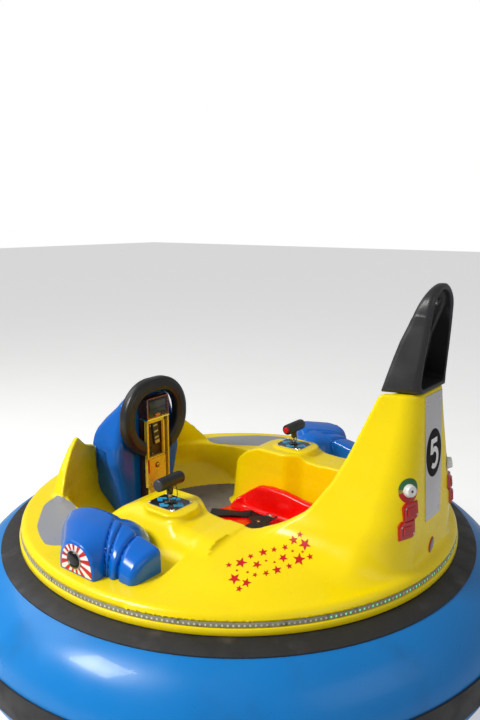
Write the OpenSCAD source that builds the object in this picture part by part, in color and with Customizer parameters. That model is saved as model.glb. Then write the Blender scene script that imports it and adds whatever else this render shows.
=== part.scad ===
/* [Tube] */
// Radius of the circle that the middle of the inflated tube runs on
tube_ring_r = 762; // [740:1:790]
// Radius of the tube's own round section
tube_r = 218; // [205:1:228]
// Height of the tube's middle above the floor
tube_z = 248; // [240:1:256]
// Thickness of the black rubbing band round the tube
band_t = 6; // [3:1:12]
// Height of the rubbing band
band_h = 92; // [60:1:130]
// Thickness of the black flange sheet that lies on the tube
flange_t = 4; // [2:1:6]
// How far the flange sheet reaches out past the middle of the tube
flange_out = 84; // [63:1:108]

/* [Body moulding] */
// Wall of the glass-fibre mouldings
shell_t = 8; // [6:1:12]
// Radius of the light strip round the rim
rim_r = 780; // [770:1:790]
// Height of the middle of the light strip above the floor
rim_z = 500; // [496:1:506]
// Height of the groove that holds the light strip
strip_h = 18; // [12:1:24]
// Depth of the light strip in its groove
strip_t = 8; // [5:1:12]
// Height of the yellow lip below the light strip
lip_h = 20; // [16:1:20]
// Height of the deck above the middle of the light strip
deck_rise = 32; // [24:1:40]
// Radius of the rounded edge of the deck
deck_edge_r = 22; // [14:1:23]

/* [Cockpit] */
// Height of the cockpit floor above the ground
floor_z = 352; // [345:1:360]
// Radius of the footwells' front wall about the car's centre
well_front_r = 660; // [650:1:665]
// Radius of the footwells' side walls
well_side_r = 440; // [425:1:445]
// Distance of the centre of those side walls ahead of the car's centre
well_side_x = 300; // [290:1:310]
// Rear edge of the footwells
well_rear = 236; // [225:1:245]
// Half width of the seat opening beside the armrests
seat_half = 258; // [250:1:262]
// Half width of the seat opening behind the armrests
hip_half = 298; // [290:1:302]
// Rear edge of the seat opening
seat_rear = -340; // [-350:1:-330]
// Corner radius of the seat opening
well_round = 52; // [40:1:60]
// Height of the seat's side bolsters above the floor
seat_top = 492; // [480:1:500]
// Wall of the seat bucket
seat_wall = 34; // [26:1:40]

/* [Fins] */
// Thickness of a fin at its foot
fin_foot_t = 40; // [32:1:48]
// Thickness of a fin at its tip
fin_tip_t = 12; // [8:1:20]
// Distance of a fin's outer end from the middle
fin_out = 424; // [410:1:430]
// Distance of a fin's tip from the middle
fin_tip_y = 256; // [246:1:266]
// Height of a fin's tip above the deck
fin_h = 172; // [160:1:185]

/* [Armrests] */
// Height of an armrest above the deck
arm_h = 101; // [95:1:108]
// Outer half width across the armrests at deck level
arm_out = 500; // [490:1:506]
// Outer half width across the armrests' tops
arm_top_out = 440; // [430:1:450]
// Rear end of an armrest
arm_rear = -186; // [-196:1:-180]

/* [Flank and backrest] */
// Radius at which the flank meets the deck edge
flank_r = 752; // [748:1:755]
// Height of the flank at the seat opening above the deck
flank_h = 68; // [60:1:74]
// Rounding of the backrest's rear corners at its foot
back_round = 140; // [120:1:150]
// Depth of the hollow that the rider leans in
back_hollow = 66; // [50:1:70]
// Thickness of the silver number panel
number_t = 3; // [2:1:5]

/* [Headrest] */
// Height of the headrest above the backrest
head_h = 316; // [305:1:325]
// Half width of the headrest at the front of its foot
head_half = 144; // [140:1:148]
// Half width of the headrest at its rear lip
head_rear_half = 104; // [100:1:108]
// Half width of the headrest at the top arch
head_top_half = 92; // [88:1:96]
// Wall of the headrest moulding
head_t = 14; // [12:1:16]

/* [Console] */
// Distance of the console's front panel from the centre
panel_x = 412; // [405:1:420]
// Width of the metal panel
panel_w = 126; // [115:1:135]
// Depth of the metal panel box
panel_d = 46; // [38:1:52]
// Height of the panel's top above the floor
panel_top = 850; // [830:1:870]
// Height of the cowl's top above the floor
cowl_top = 884; // [875:1:892]
// Half width of the blue cowl
cowl_half = 186; // [180:1:190]
// Width of the grab hoop
hoop_w = 352; // [344:1:360]
// Height of the grab hoop
hoop_h = 318; // [310:1:326]
// Thickness of the hoop's grip as seen from the seat
hoop_t = 58; // [54:1:62]
// Depth of the hoop's grip
hoop_d = 52; // [46:1:60]

/* [Controls] */
// Distance of a control lever from the centre line
stick_y = 370; // [366:1:374]
// Length of a lever plate
stick_plate_l = 124; // [110:1:128]
// Width of a lever plate
stick_plate_w = 100; // [90:1:104]
// Length of a lever's cross grip
grip_l = 112; // [100:1:120]
// Radius of a lever's cross grip
grip_r = 21; // [18:1:24]

/* [Pods] */
// Distance of a pod's mouth from the centre line
pod_face_y = 742; // [736:1:744]
// Half width of a pod's arched mouth
pod_mouth_r = 72; // [68:1:76]
// Height of the straight part below the mouth's arch
pod_leg = 26; // [20:1:30]
// Distance of the pods' ribbed pipes from the centre line
pod_pipe_y = 588; // [584:1:590]

/* [Wheels] */
// Radius of a drive tyre
drive_r = 125; // [118:1:130]
// Width of a drive tyre
drive_w = 62; // [52:1:68]
// Distance of a drive wheel from the centre line
drive_y = 340; // [330:1:345]
// Radius of a drive axle
axle_r = 10; // [8:0.5:12]
// Radius of a castor tyre
castor_r = 62; // [56:1:66]
// Width of a castor tyre
castor_w = 32; // [26:1:36]
// Distance of a castor's swivel from the centre
castor_x = 410; // [400:1:415]
// Trail of a castor
castor_trail = 42; // [36:1:46]
// Gap between a turning piece and what it turns on
bearing_gap = 0.06; // [0.03:0.01:0.1]

/* [Chassis] */
// Height of the chassis plate's underside above the floor
pan_z = 92; // [88:1:94]
// Thickness of the chassis plate
pan_t = 5; // [4:1:6]
// Size of the battery block along the car
battery_l = 330; // [300:1:340]
// Width of the battery block
battery_w = 250; // [220:1:256]
// Height of the battery block
battery_h = 190; // [170:1:210]

/* [Hidden] */

$fn = 96;
seat_gap = 0.3;
deck_z = rim_z + deck_rise;
arm_step_x = -60;
groove_top = rim_z + strip_h / 2;
groove_bottom = rim_z - strip_h / 2;
lip_z = groove_bottom - lip_h;
lip_r = rim_r + 4;

// A square from x0 to x1 and y0 to y1 with round corners of radius r
module rounded(x0, x1, y0, y1, r) {
  translate([x0 + r, y0]) square([x1 - x0 - 2 * r, y1 - y0]);
  translate([x0, y0 + r]) square([x1 - x0, y1 - y0 - 2 * r]);
  for (x = [x0 + r, x1 - r], y = [y0 + r, y1 - r]) translate([x, y]) circle(r);
}

// An outline in the X-Z plane pushed from y0 to y1
module along_y(y0, y1) {
  translate([0, y1, 0]) rotate([90, 0, 0]) linear_extrude(y1 - y0) children();
}

// An outline drawn as (Y, Z) pushed from x0 to x1
module along_x(x0, x1) {
  translate([x0, 0, 0]) rotate([90, 0, 90]) linear_extrude(x1 - x0) children();
}

// One side's piece, drawn on the left and mirrored for the right
module on_side(side) {
  if (side > 0) children();
  else mirror([0, 1, 0]) children();
}

// A ring of the tube's section between two radii, within a box seen in section
module tube_skin(inner, outer, r0, r1, z0, z1) {
  rotate_extrude() intersection() {
    translate([tube_ring_r, tube_z]) difference() {
      circle(outer);
      circle(inner);
    }
    translate([r0, z0]) square([r1 - r0, z1 - z0]);
  }
}

module tube() {
  color("dodgerblue") rotate_extrude() translate([tube_ring_r, tube_z]) circle(tube_r);
}

module rub_band() {
  inner = tube_r + seat_gap;
  color("black") tube_skin(inner, inner + band_t, tube_ring_r, tube_ring_r + 2 * tube_r,
                           tube_z - band_h / 2, tube_z + band_h / 2);
}

module flange() {
  inner = tube_r + seat_gap;
  color("dimgray") tube_skin(inner, inner + flange_t, tube_ring_r - 60,
                             tube_ring_r + flange_out,
                             tube_z, tube_z + 2 * tube_r);
}

module light_strip() {
  color("honeydew") rotate_extrude()
    translate([rim_r - strip_t, groove_bottom + 1]) square([strip_t, strip_h - 2]);
}

// Plan of the seat opening, drawn in by a wall thickness
module seat_plan(inset) {
  rounded(seat_rear + inset, arm_step_x, -hip_half + inset, hip_half - inset, well_round - inset);
  translate([arm_step_x - well_round, -seat_half + inset])
    square([well_rear - arm_step_x + 2 * well_round, 2 * (seat_half - inset)]);
}

// Plan of the footwells, drawn in by a wall thickness
module foot_plan(inset) {
  intersection() {
    circle(well_front_r - inset);
    translate([well_side_x, 0]) circle(well_side_r - inset);
    rounded(well_rear + inset, well_front_r, -well_side_r, well_side_r, well_round - inset);
  }
}

module cockpit_plan(inset) {
  foot_plan(inset);
  seat_plan(inset);
}

// Space inside the tube that the well and the cowl stand in, drawn in by a wall thickness.
// Its lower edge leans in over the tube and keeps a clear gap to it
toe_in = 110;
tube_clear = 3;
module well_room(inset) {
  top_r = well_front_r - inset;
  rotate_extrude() difference() {
    polygon([[0, floor_z], [top_r - toe_in, floor_z], [top_r - 10, floor_z + 88],
             [top_r, floor_z + 118], [top_r, cowl_top], [0, cowl_top]]);
    translate([tube_ring_r, tube_z]) circle(tube_r + tube_clear + inset);
  }
}

// Plan of an armrest's foot, and of the part of the deck that carries flank and armrests
arm_round = 60;
module arm_foot() {
  difference() {
    union() {
      rounded(arm_rear, well_rear + shell_t, seat_half, arm_out, arm_round);
      translate([arm_rear, seat_half]) square([arm_round, arm_out - seat_half]);
    }
    cockpit_plan(-seat_gap);
  }
}
module raised_plan() {
  intersection() {
    circle(flank_r);
    union() {
      translate([-flank_r, -flank_r]) square([flank_r + arm_rear, 2 * flank_r]);
      arm_foot();
      mirror([0, 1]) arm_foot();
    }
  }
}

module deck() {
  edge_r = rim_r - 2 - deck_edge_r;
  color("gold") difference() {
    rotate_extrude() {
      // rim below and above the groove, then the rounded edge
      translate([rim_r - strip_t - shell_t, lip_z]) square([shell_t, deck_z - deck_edge_r - lip_z]);
      translate([rim_r - strip_t - 1, lip_z]) square([lip_r - rim_r + strip_t + 1, lip_h]);
      translate([rim_r - strip_t - 1, groove_top]) square([strip_t - 1, deck_z - deck_edge_r - groove_top]);
      intersection() {
        translate([edge_r, deck_z - deck_edge_r]) circle(deck_edge_r);
        translate([edge_r, deck_z - deck_edge_r]) square(deck_edge_r);
      }
      translate([0, deck_z - shell_t]) square([edge_r + 1, shell_t]);
    }
    translate([0, 0, deck_z - 3 * shell_t]) linear_extrude(6 * shell_t) {
      cockpit_plan(0);
      raised_plan();
    }
  }
}

module tub() {
  depth = deck_z - floor_z;
  color("goldenrod") difference() {
    intersection() {
      translate([0, 0, floor_z]) linear_extrude(depth) cockpit_plan(0);
      well_room(0);
    }
    intersection() {
      translate([0, 0, floor_z + shell_t]) linear_extrude(depth) cockpit_plan(shell_t);
      well_room(shell_t);
    }
  }
}

// Radius of the flank's outer face and its height above the deck
flank_steps = [[flank_r, 0], [738, 16], [712, 32], [670, 46], [600, 56], [480, flank_h - 4], [280, flank_h]];

// The flank as a full block below its outer face, sunk by a depth
module flank_block(sink) {
  outer = [for (v = flank_steps) [v[0] - (v[0] == flank_r ? 1.4 * sink : 0), max(v[1] - sink, -shell_t)]];
  translate([0, 0, deck_z]) rotate_extrude()
    polygon(concat([[0, flank_h - sink]], [[280, -shell_t - sink], [outer[0][0], -shell_t - sink]], outer));
}

module flank() {
  color("yellow") difference() {
    intersection() {
      flank_block(0);
      translate([0, 0, deck_z - shell_t]) linear_extrude(2 * flank_h)
        translate([-flank_r, -flank_r]) square([flank_r + arm_rear, 2 * flank_r]);
    }
    // hollow below, except for the wall round the seat opening
    difference() {
      flank_block(shell_t);
      translate([0, 0, deck_z - 2 * shell_t]) linear_extrude(2 * flank_h) cockpit_plan(-shell_t);
      translate([0, 0, deck_z - 2 * shell_t]) linear_extrude(2 * flank_h)
        translate([arm_rear - shell_t, -flank_r]) square([shell_t, 2 * flank_r]);
    }
    translate([0, 0, deck_z - 2 * shell_t]) linear_extrude(2 * flank_h) cockpit_plan(0);
    column_block(3 * shell_t);
    // the column stands alone at the seat's rear edge and at the rear of the deck
    translate([seat_rear - shell_t, well_round - hip_half, deck_z - 2 * shell_t])
      cube([2 * shell_t, 2 * (hip_half - well_round), 2 * flank_h]);
    translate([-flank_r - shell_t, back_round - column_levels[0][3], deck_z - 2 * shell_t])
      cube([3 * shell_t, 2 * (column_levels[0][3] - back_round), 2 * flank_h]);
  }
}

// Backrest by height above the deck: front edge, half width there, half width at the rear, rear rounding
column_levels = [
  [0, -340, 296, 262, back_round],
  [68, -344, 292, 256, back_round - 4],
  [118, -402, 286, 240, back_round - 24],
  [158, -452, 262, 226, back_round - 38],
  [248, -508, 224, 186, back_round - 56],
  [328, -542, 192, 159, back_round - 70],
  [436, -580, 160, 125, back_round - 84],
  [522, -612, 142, 104, back_round - 94],
];
column_top = deck_z + 522;
rear_foot_x = -744;
rear_lean = atan2(20, 404);
function rear_x(h) = rear_foot_x + max(h - 118, 0) * tan(rear_lean);
crest_round = 16;
corner_steps = 7;

// A level's outline: a four-sided plan with each corner rounded
function corner_arc(cx, cy, r, a0) =
  [for (i = [0:corner_steps]) [cx + r * cos(a0 + 90 * i / corner_steps), cy + r * sin(a0 + 90 * i / corner_steps)]];
function level_outline(rear, front, half_rear, half_front, r_rear, r_front) = concat(
  corner_arc(front - r_front, half_front - r_front, r_front, 0),
  corner_arc(rear + r_rear, half_rear - r_rear, r_rear, 90),
  corner_arc(rear + r_rear, r_rear - half_rear, r_rear, 180),
  corner_arc(front - r_front, r_front - half_front, r_front, 270));

// A solid through a list of outlines, each given with its height
module loft(outlines, heights) {
  n = len(outlines[0]);
  m = len(outlines);
  points = [for (k = [0:m - 1], p = outlines[k]) [p[0], p[1], heights[k]]];
  rising = [for (k = [0:m - 2], i = [0:n - 1]) [k * n + i, (k + 1) * n + (i + 1) % n, k * n + (i + 1) % n]];
  closing = [for (k = [0:m - 2], i = [0:n - 1]) [k * n + i, (k + 1) * n + i, (k + 1) * n + (i + 1) % n]];
  foot = [[for (i = [0:n - 1]) i]];
  head = [[for (i = [n - 1:-1:0]) (m - 1) * n + i]];
  polyhedron(points, concat(foot, rising, closing, head), convexity = 4);
}

// The backrest as a full block, with a straight skirt of a depth below the deck
module column_block(skirt) {
  levels = concat(skirt > 0 ? [column_levels[0]] : [], column_levels);
  heights = concat(skirt > 0 ? [-skirt] : [], [for (v = column_levels) v[0]]);
  loft([for (v = levels) level_outline(rear_x(v[0]), v[1], v[3], v[2], v[4], crest_round)],
       [for (h = heights) deck_z + h]);
}

// What the rider's back leans in: a rounded hollow that follows the front edges up
module back_hollow_block() {
  hollow_levels = [for (i = [1:len(column_levels) - 1]) column_levels[i]];
  first = hollow_levels[0];
  outlines = [for (v = hollow_levels)
                level_outline(v[1] - back_hollow * (v[2] / first[2]), v[1] + 260, v[2] - 22, v[2] - 22,
                              0.32 * v[2], crest_round)];
  loft(concat([outlines[0]], outlines, [outlines[len(outlines) - 1]]),
       concat([deck_z - 2 * shell_t], [for (v = hollow_levels) deck_z + v[0]], [column_top + 10]));
}

module column() {
  color("yellow") difference() {
    column_block(0);
    back_hollow_block();
    translate([0, 0, deck_z - 2 * shell_t]) linear_extrude(flank_h + 2 * shell_t) seat_plan(0);
  }
}

// Everything that lies on the leaning rear face is drawn flat and stood up on it
module on_rear_face(h) {
  translate([rear_x(h) - seat_gap, 0, deck_z + h]) rotate([0, rear_lean, 0]) children();
}

module number_panel() {
  color("silver") on_rear_face(128) along_x(-number_t, 0)
    polygon([[-55, 0], [55, 0], [60, 200], [62, 384], [-62, 384], [-60, 200]]);
}

// Radii of a fin's foot and tip; rear end, inner face, width and height of the wall that runs back from it
fin_foot_r = well_front_r + fin_foot_t;
fin_tip_r = well_front_r + fin_tip_t;
return_x = well_front_r - 94;
return_y = 138;
return_w = 14;
return_h = 100;

// Front view of a fin: it rises from the deck to its tip and falls to the cowl
module fin(side) {
  color("yellow") on_side(side) intersection() {
    rotate_extrude() polygon([[well_front_r, deck_z], [fin_foot_r, deck_z],
                              [fin_tip_r + 8, deck_z + fin_h / 2], [fin_tip_r, deck_z + fin_h],
                              [well_front_r, deck_z + fin_h]]);
    along_x(well_side_x, fin_foot_r) translate([0, deck_z])
      polygon([[return_y, 0], [fin_out, 0], [fin_out - 20, fin_h - 142], [fin_out - 58, fin_h - 92],
               [fin_tip_y + 46, fin_h - 30], [fin_tip_y, fin_h], [fin_tip_y - 10, fin_h - 4],
               [fin_tip_y - 60, fin_h - 48], [return_y, return_h + 2]]);
  }
  // return wall from the fin's inner end to the cowl
  color("yellow") on_side(side) translate([return_x, return_y, deck_z])
    cube([fin_tip_r - 2 - return_x, return_w, return_h]);
}
module fin_left() fin(1);
module fin_right() fin(-1);

module armrest(side) {
  foot = deck_z - shell_t;
  color("yellow") on_side(side) intersection() {
    translate([0, 0, foot]) linear_extrude(arm_h + shell_t) arm_foot();
    along_y(seat_half, arm_out) polygon([[arm_rear, foot], [well_rear + shell_t, foot], [well_rear, deck_z + 6],
                                         [214, deck_z + 30], [162, deck_z + 70], [128, deck_z + arm_h - 12],
                                         [96, deck_z + arm_h], [-74, deck_z + arm_h], [-96, deck_z + arm_h - 22],
                                         [arm_rear, deck_z + flank_h]]);
    along_x(arm_rear, well_rear + shell_t) polygon([[seat_half, foot], [arm_out, foot], [arm_out, deck_z + 4],
                                           [arm_top_out + 20, deck_z + arm_h - 34],
                                           [arm_top_out - 8, deck_z + arm_h - 6],
                                           [arm_top_out - 30, deck_z + arm_h],
                                           [seat_half + 40, deck_z + arm_h],
                                           [seat_half + 14, deck_z + arm_h - 8],
                                           [seat_half, deck_z + arm_h - 28]]);
  }
}
module armrest_left() armrest(1);
module armrest_right() armrest(-1);

// Red bucket in the seat well, its side bolsters falling to the front lip
seat_pan_z = floor_z + shell_t + 42;
module seat_shell() {
  out = seat_half - shell_t - seat_gap;
  rear = seat_rear + shell_t + seat_gap;
  front = 178;
  color("red") difference() {
    intersection() {
      translate([0, 0, floor_z + shell_t]) linear_extrude(seat_top - floor_z)
        rounded(rear, front, -out, out, well_round);
      along_y(-out, out) polygon([[rear, floor_z], [front, floor_z], [front, seat_pan_z + 6], [150, seat_pan_z + 22],
                                  [112, seat_top - 38], [66, seat_top - 8], [10, seat_top], [-60, seat_top - 4],
                                  [-160, seat_top - 24], [rear, seat_top - 30]]);
    }
    translate([0, 0, seat_pan_z]) linear_extrude(seat_top)
      rounded(rear + seat_wall, front + 200, -out + seat_wall, out - seat_wall, well_round);
  }
}

module seat_belt() {
  color("black") translate([-60, -170, seat_pan_z + seat_gap]) cube([50, 340, 5]);
}

// Blue cowl: a wedge nose ahead of the panel
module cowl() {
  foot = floor_z + shell_t;
  back = panel_x + panel_d;
  nose = well_front_r + 8;
  inner = return_y - seat_gap;
  color("royalblue") intersection() {
    along_y(-cowl_half, cowl_half) polygon([[back, foot], [back, cowl_top], [back + 26, cowl_top - 4],
                                            [nose - 146, cowl_top - 66], [nose - 94, cowl_top - 116],
                                            [nose - 38, cowl_top - 184], [nose, cowl_top - 262], [nose, foot]]);
    along_x(back, nose) polygon([[-120, foot], [-cowl_half, deck_z + 60], [4 - cowl_half, deck_z + 130],
                                 [-132, cowl_top - 60], [-98, cowl_top - 14], [-60, cowl_top], [60, cowl_top],
                                 [98, cowl_top - 14], [132, cowl_top - 60], [cowl_half - 4, deck_z + 130],
                                 [cowl_half, deck_z + 60], [120, foot]]);
    union() {
      well_room(shell_t + seat_gap);
      translate([back, -inner, deck_z + seat_gap]) cube([nose - back, 2 * inner, cowl_top]);
    }
    // room for the fins' return walls
    difference() {
      translate([back, -cowl_half, 0]) cube([nose - back, 2 * cowl_half, cowl_top + 1]);
      for (side = [1, -1]) on_side(side) translate([return_x - seat_gap, inner, deck_z - seat_gap])
        cube([nose, cowl_half, cowl_top]);
    }
  }
}

// Black grab hoop: a broad D open below, standing in the plane of the panel
module hoop() {
  top = cowl_top + 42;
  color("black") along_x(panel_x - hoop_d + panel_d - seat_gap, panel_x + panel_d - seat_gap) difference() {
    rounded(-hoop_w / 2, hoop_w / 2, top - hoop_h, top, 150);
    rounded(-hoop_w / 2 + hoop_t, hoop_w / 2 - hoop_t, top - hoop_h + hoop_t, top - hoop_t, 100);
    translate([-panel_w / 2 - seat_gap, 0]) square([panel_w + 2 * seat_gap, top - hoop_h + hoop_t + 60]);
  }
}

module console_panel() {
  foot = floor_z + shell_t;
  color("gold") translate([panel_x, -panel_w / 2, foot]) cube([panel_d - seat_gap, panel_w, panel_top - 90 - foot]);
}

module console_screen() {
  color("saddlebrown") translate([panel_x - 6, -panel_w / 2, panel_top - 90])
    cube([panel_d + 6 - seat_gap, panel_w, 90]);
}

module lever_plate(side) {
  color("navy") translate([-stick_plate_l / 2, side * stick_y - stick_plate_w / 2, deck_z + arm_h])
    cube([stick_plate_l, stick_plate_w, 3]);
}
module lever_plate_left() lever_plate(1);
module lever_plate_right() lever_plate(-1);

module lever(side) {
  z = deck_z + arm_h + 3;
  color("black") translate([0, side * stick_y, z]) {
    cylinder(h = 6, r = 20);
    cylinder(h = 30, r = 6);
    translate([0, 0, 28]) cylinder(h = 34, r = 11);
    translate([0, 0, 62 + grip_r / 2]) rotate([90, 0, 0]) cylinder(h = grip_l, r = grip_r, center = true);
  }
}
module lever_left() lever(1);
module lever_right() lever(-1);

// An arch on straight legs: half width r, legs of the given height
module arch(r, leg) {
  translate([0, leg]) intersection() {
    circle(r);
    translate([-r, 0]) square([2 * r, r]);
  }
  translate([-r, 0]) square([2 * r, leg]);
}

// Pod: an elbow whose mouth faces outward, then a ribbed pipe that runs to the rear.
// Each rib: front end, rear end, half width, height above the deck at its crest
pod_ribs = [[50, -50, 116, 115], [-44, -98, 112, 107], [-92, -164, 105, 94]];
module pod(side) {
  mouth_x = 26;
  color("royalblue") on_side(side) translate([0, 0, deck_z]) {
    translate([mouth_x, 0, 0]) along_y(pod_pipe_y, pod_face_y) arch(pod_mouth_r, pod_leg);
    translate([mouth_x + 30, pod_pipe_y + 8, 0]) intersection() {
      scale(1.16) sphere(r = 100);
      translate([-60, arm_out - pod_pipe_y - 7, 0]) cube([200, 240, 116]);
    }
    for (rib = pod_ribs) intersection() {
      translate([0, pod_pipe_y, 0]) along_x(rib[1], rib[0]) translate([0, rib[3] - rib[2]]) circle(rib[2]);
      translate([-200, arm_out + 1, 0]) cube([400, 240, 116]);
    }
  }
}
module pod_left() pod(1);
module pod_right() pod(-1);

module pod_lamp(side) {
  color("white") on_side(side) translate([26, pod_face_y, deck_z + pod_leg + 22]) rotate([-90, 0, 0]) {
    cylinder(h = 3, r = 46);
    cylinder(h = 11, r = 27);
  }
}
module pod_lamp_left() pod_lamp(1);
module pod_lamp_right() pod_lamp(-1);

// Outline of the headrest from behind, drawn in by a wall thickness
module head_face(inset) {
  top = column_top + head_h;
  arch_z = top - head_top_half;
  translate([0, arch_z]) circle(head_top_half - inset);
  polygon([[-head_half + inset, column_top - 1], [head_half - inset, column_top - 1],
           [head_top_half - inset, arch_z], [-head_top_half + inset, arch_z]]);
}

module headrest() {
  top = column_top + head_h;
  rear_x = -742;
  front_x = -612;
  color([0.25, 0.25, 0.27]) difference() {
    intersection() {
      along_x(-760, front_x) head_face(0);
      along_y(-200, 200) polygon([[front_x, column_top], [-726, column_top], [rear_x, top - 50], [rear_x, top],
                                  [-716, top], [-700, top - 44], [-654, column_top + 150]]);
      translate([0, 0, column_top]) linear_extrude(head_h)
        polygon([[front_x + 2, -head_half], [front_x + 2, head_half], [-760, head_rear_half], [-760, -head_rear_half]]);
    }
    intersection() {
      along_x(-800, front_x) head_face(head_t);
      along_y(-200, 200) polygon([[front_x - 24, column_top + head_t], [-800, column_top + head_t], [-800, top],
                                  [-726, top], [-714, top - 48], [-670, column_top + 150]]);
      translate([0, 0, column_top]) linear_extrude(head_h)
        polygon([[front_x + 2, -head_half + head_t], [front_x + 2, head_half - head_t],
                 [-760, head_rear_half - head_t], [-760, -head_rear_half + head_t]]);
    }
    along_x(-800, front_x) translate([0, top - 62]) {
      square([72, 24], center = true);
      for (y = [-36, 36]) translate([y, 0]) circle(12);
    }
  }
}

// Rear corners of the backrest at a height above the deck: rounding, and how far they reach out in a direction
function corner_r(h) = lookup(h, [for (v = column_levels) [v[0], v[4]]]);
function corner_half(h) = lookup(h, [for (v = column_levels) [v[0], v[3]]]);
function corner_reach(h, turn) =
  -(rear_x(h) + corner_r(h)) * cos(turn) + (corner_half(h) - corner_r(h)) * sin(turn) + corner_r(h);

// Stands a flat lamp just off the rounded corner, in the plane that touches the corner there
module on_corner(h, turn, stand_off) {
  step = 10;
  lean = atan2(corner_reach(h - step, turn) - corner_reach(h + step, turn), 2 * step);
  middle = [rear_x(h) + corner_r(h) * (1 - cos(turn)), corner_half(h) - corner_r(h) * (1 - sin(turn))];
  translate([middle[0], middle[1], deck_z + h]) rotate([0, 0, -turn]) rotate([0, lean, 0])
    translate([-stand_off, 0, 0]) children();
}

// Tail lamps in two steps and a knob lamp on each rounded rear corner, one reflector low in the middle.
// Each lamp: height above the deck, direction of its face, width, height
tail_lamps = [[194, 22, 60, 48], [142, 24, 58, 50]];
lamp_t = 8;
module tail_lights() {
  for (side = [1, -1]) on_side(side) {
    color("red") for (lamp = tail_lamps) on_corner(lamp[0], lamp[1], lamp_t / 2 + seat_gap)
      cube([lamp_t, lamp[2], lamp[3]], center = true);
    color("white") on_corner(253, 31, lamp_t / 2 + 2 * seat_gap) rotate([0, 90, 0])
      cylinder(h = lamp_t, r = 17, center = true);
  }
  color("red") translate([rear_foot_x - 4 - seat_gap, 0, deck_z + 34]) rotate([0, 90, 0]) cylinder(h = 4, r = 17);
}

// Openings in the chassis plate for the drive wheels and the castors
hole_gap = 14;
castor_sweep = castor_trail + castor_r + hole_gap;
bridge_z = 158;
bridge_t = 8;
motor_r = 52;
motor_slot = drive_y - battery_w / 2 - 2;
skirt_r = tube_ring_r - tube_r - seat_gap;

module chassis_pan() {
  pan_r = skirt_r + 48;
  color("dimgray") difference() {
    translate([0, 0, pan_z]) cylinder(h = pan_t, r = pan_r);
    for (side = [1, -1]) translate([-drive_r - hole_gap, side * drive_y - drive_w / 2 - hole_gap, 0])
      cube([2 * (drive_r + hole_gap), drive_w + 2 * hole_gap, 2 * pan_z]);
    for (side = [1, -1]) translate([-motor_r - 6, side * (drive_y + battery_w / 2) / 2 - motor_slot / 2, 0])
      cube([2 * motor_r + 12, motor_slot, 2 * pan_z]);
    for (side = [1, -1]) translate([side * castor_x, 0, 0]) cylinder(h = 2 * pan_z, r = castor_sweep);
  }
}

// Wall that holds the tube from inside and carries the body
module chassis_wall() {
  color("dimgray") translate([0, 0, pan_z + pan_t]) difference() {
    cylinder(h = floor_z - pan_z - pan_t, r = skirt_r);
    translate([0, 0, -1]) cylinder(h = floor_z, r = skirt_r - 4);
  }
}

// Bridges over the castors, each on two legs
module castor_bridges() {
  color("dimgray") for (side = [1, -1]) translate([side * castor_x, 0, 0]) difference() {
    union() {
      translate([-60, -castor_sweep - 30, bridge_z]) cube([120, 2 * castor_sweep + 60, bridge_t]);
      for (y = [1, -1]) translate([-60, y * (castor_sweep + 20) - 4, pan_z + pan_t])
        cube([120, 8, bridge_z - pan_z - pan_t]);
    }
    translate([0, 0, bridge_z - 1]) cylinder(h = bridge_t + 2, r = axle_r + bearing_gap);
  }
}

module battery() {
  color("black") translate([-battery_l / 2, -battery_w / 2, pan_z + pan_t])
    cube([battery_l, battery_w, battery_h]);
}

// Motor, its mounting plate and the fixed axle that carries the wheel
hub_r = 62;
module drive_unit(side) {
  inner = drive_y - drive_w / 2 - hole_gap - 8;
  color("slategray") on_side(side) {
    translate([-84, inner, pan_z + pan_t]) cube([168, 8, drive_r - pan_z - pan_t + motor_r + 8]);
    translate([0, inner, drive_r]) rotate([90, 0, 0]) cylinder(h = inner - battery_w / 2 - 6, r = motor_r);
    translate([0, inner, drive_r]) rotate([-90, 0, 0])
      cylinder(h = drive_y + drive_w / 2 - inner + 6, r = axle_r);
    translate([0, inner + 8, drive_r]) rotate([-90, 0, 0]) cylinder(h = hole_gap - 4, r = 22);
  }
}
module drive_unit_left() drive_unit(1);
module drive_unit_right() drive_unit(-1);

module drive_hub(side) {
  color("silver") on_side(side) translate([0, drive_y, drive_r]) rotate([90, 0, 0]) difference() {
    cylinder(h = drive_w - 10, r = hub_r + 14, center = true);
    for (z = [1, -1]) translate([0, 0, z * drive_w / 2]) cylinder(h = 24, r = hub_r, center = true);
    cylinder(h = drive_w, r = axle_r + bearing_gap, center = true);
  }
}
module drive_hub_left() drive_hub(1);
module drive_hub_right() drive_hub(-1);

module drive_tyre(side) {
  color("black") on_side(side) translate([0, drive_y, drive_r]) rotate([90, 0, 0]) rotate_extrude()
    rounded(hub_r + 14, drive_r, -drive_w / 2, drive_w / 2, 12);
}
module drive_tyre_left() drive_tyre(1);
module drive_tyre_right() drive_tyre(-1);

// Castor fork hanging from its bridge, trailing to the rear
module castor_fork(x) {
  cheek_y = castor_w / 2 + 4;
  plate_z = 2 * castor_r + 8;
  color("silver") translate([x, 0, 0]) {
    translate([0, 0, plate_z + 5]) cylinder(h = bridge_z - plate_z - 5 - seat_gap, r = 34);
    translate([0, 0, plate_z + 4]) cylinder(h = bridge_z + bridge_t - plate_z, r = axle_r);
    translate([-castor_trail - 14, -cheek_y - 4, plate_z]) cube([castor_trail + 48, 2 * cheek_y + 8, 5]);
    for (side = [1, -1]) on_side(side) difference() {
      along_y(cheek_y, cheek_y + 4)
        polygon([[-castor_trail - 14, castor_r - 12], [-castor_trail + 14, castor_r - 12],
                 [34, plate_z], [-castor_trail - 14, plate_z]]);
    }
    translate([-castor_trail, 0, castor_r]) rotate([90, 0, 0])
      cylinder(h = 2 * cheek_y + 16, r = 5, center = true);
  }
}
module castor_fork_front() castor_fork(castor_x);
module castor_fork_rear() castor_fork(-castor_x);

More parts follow.
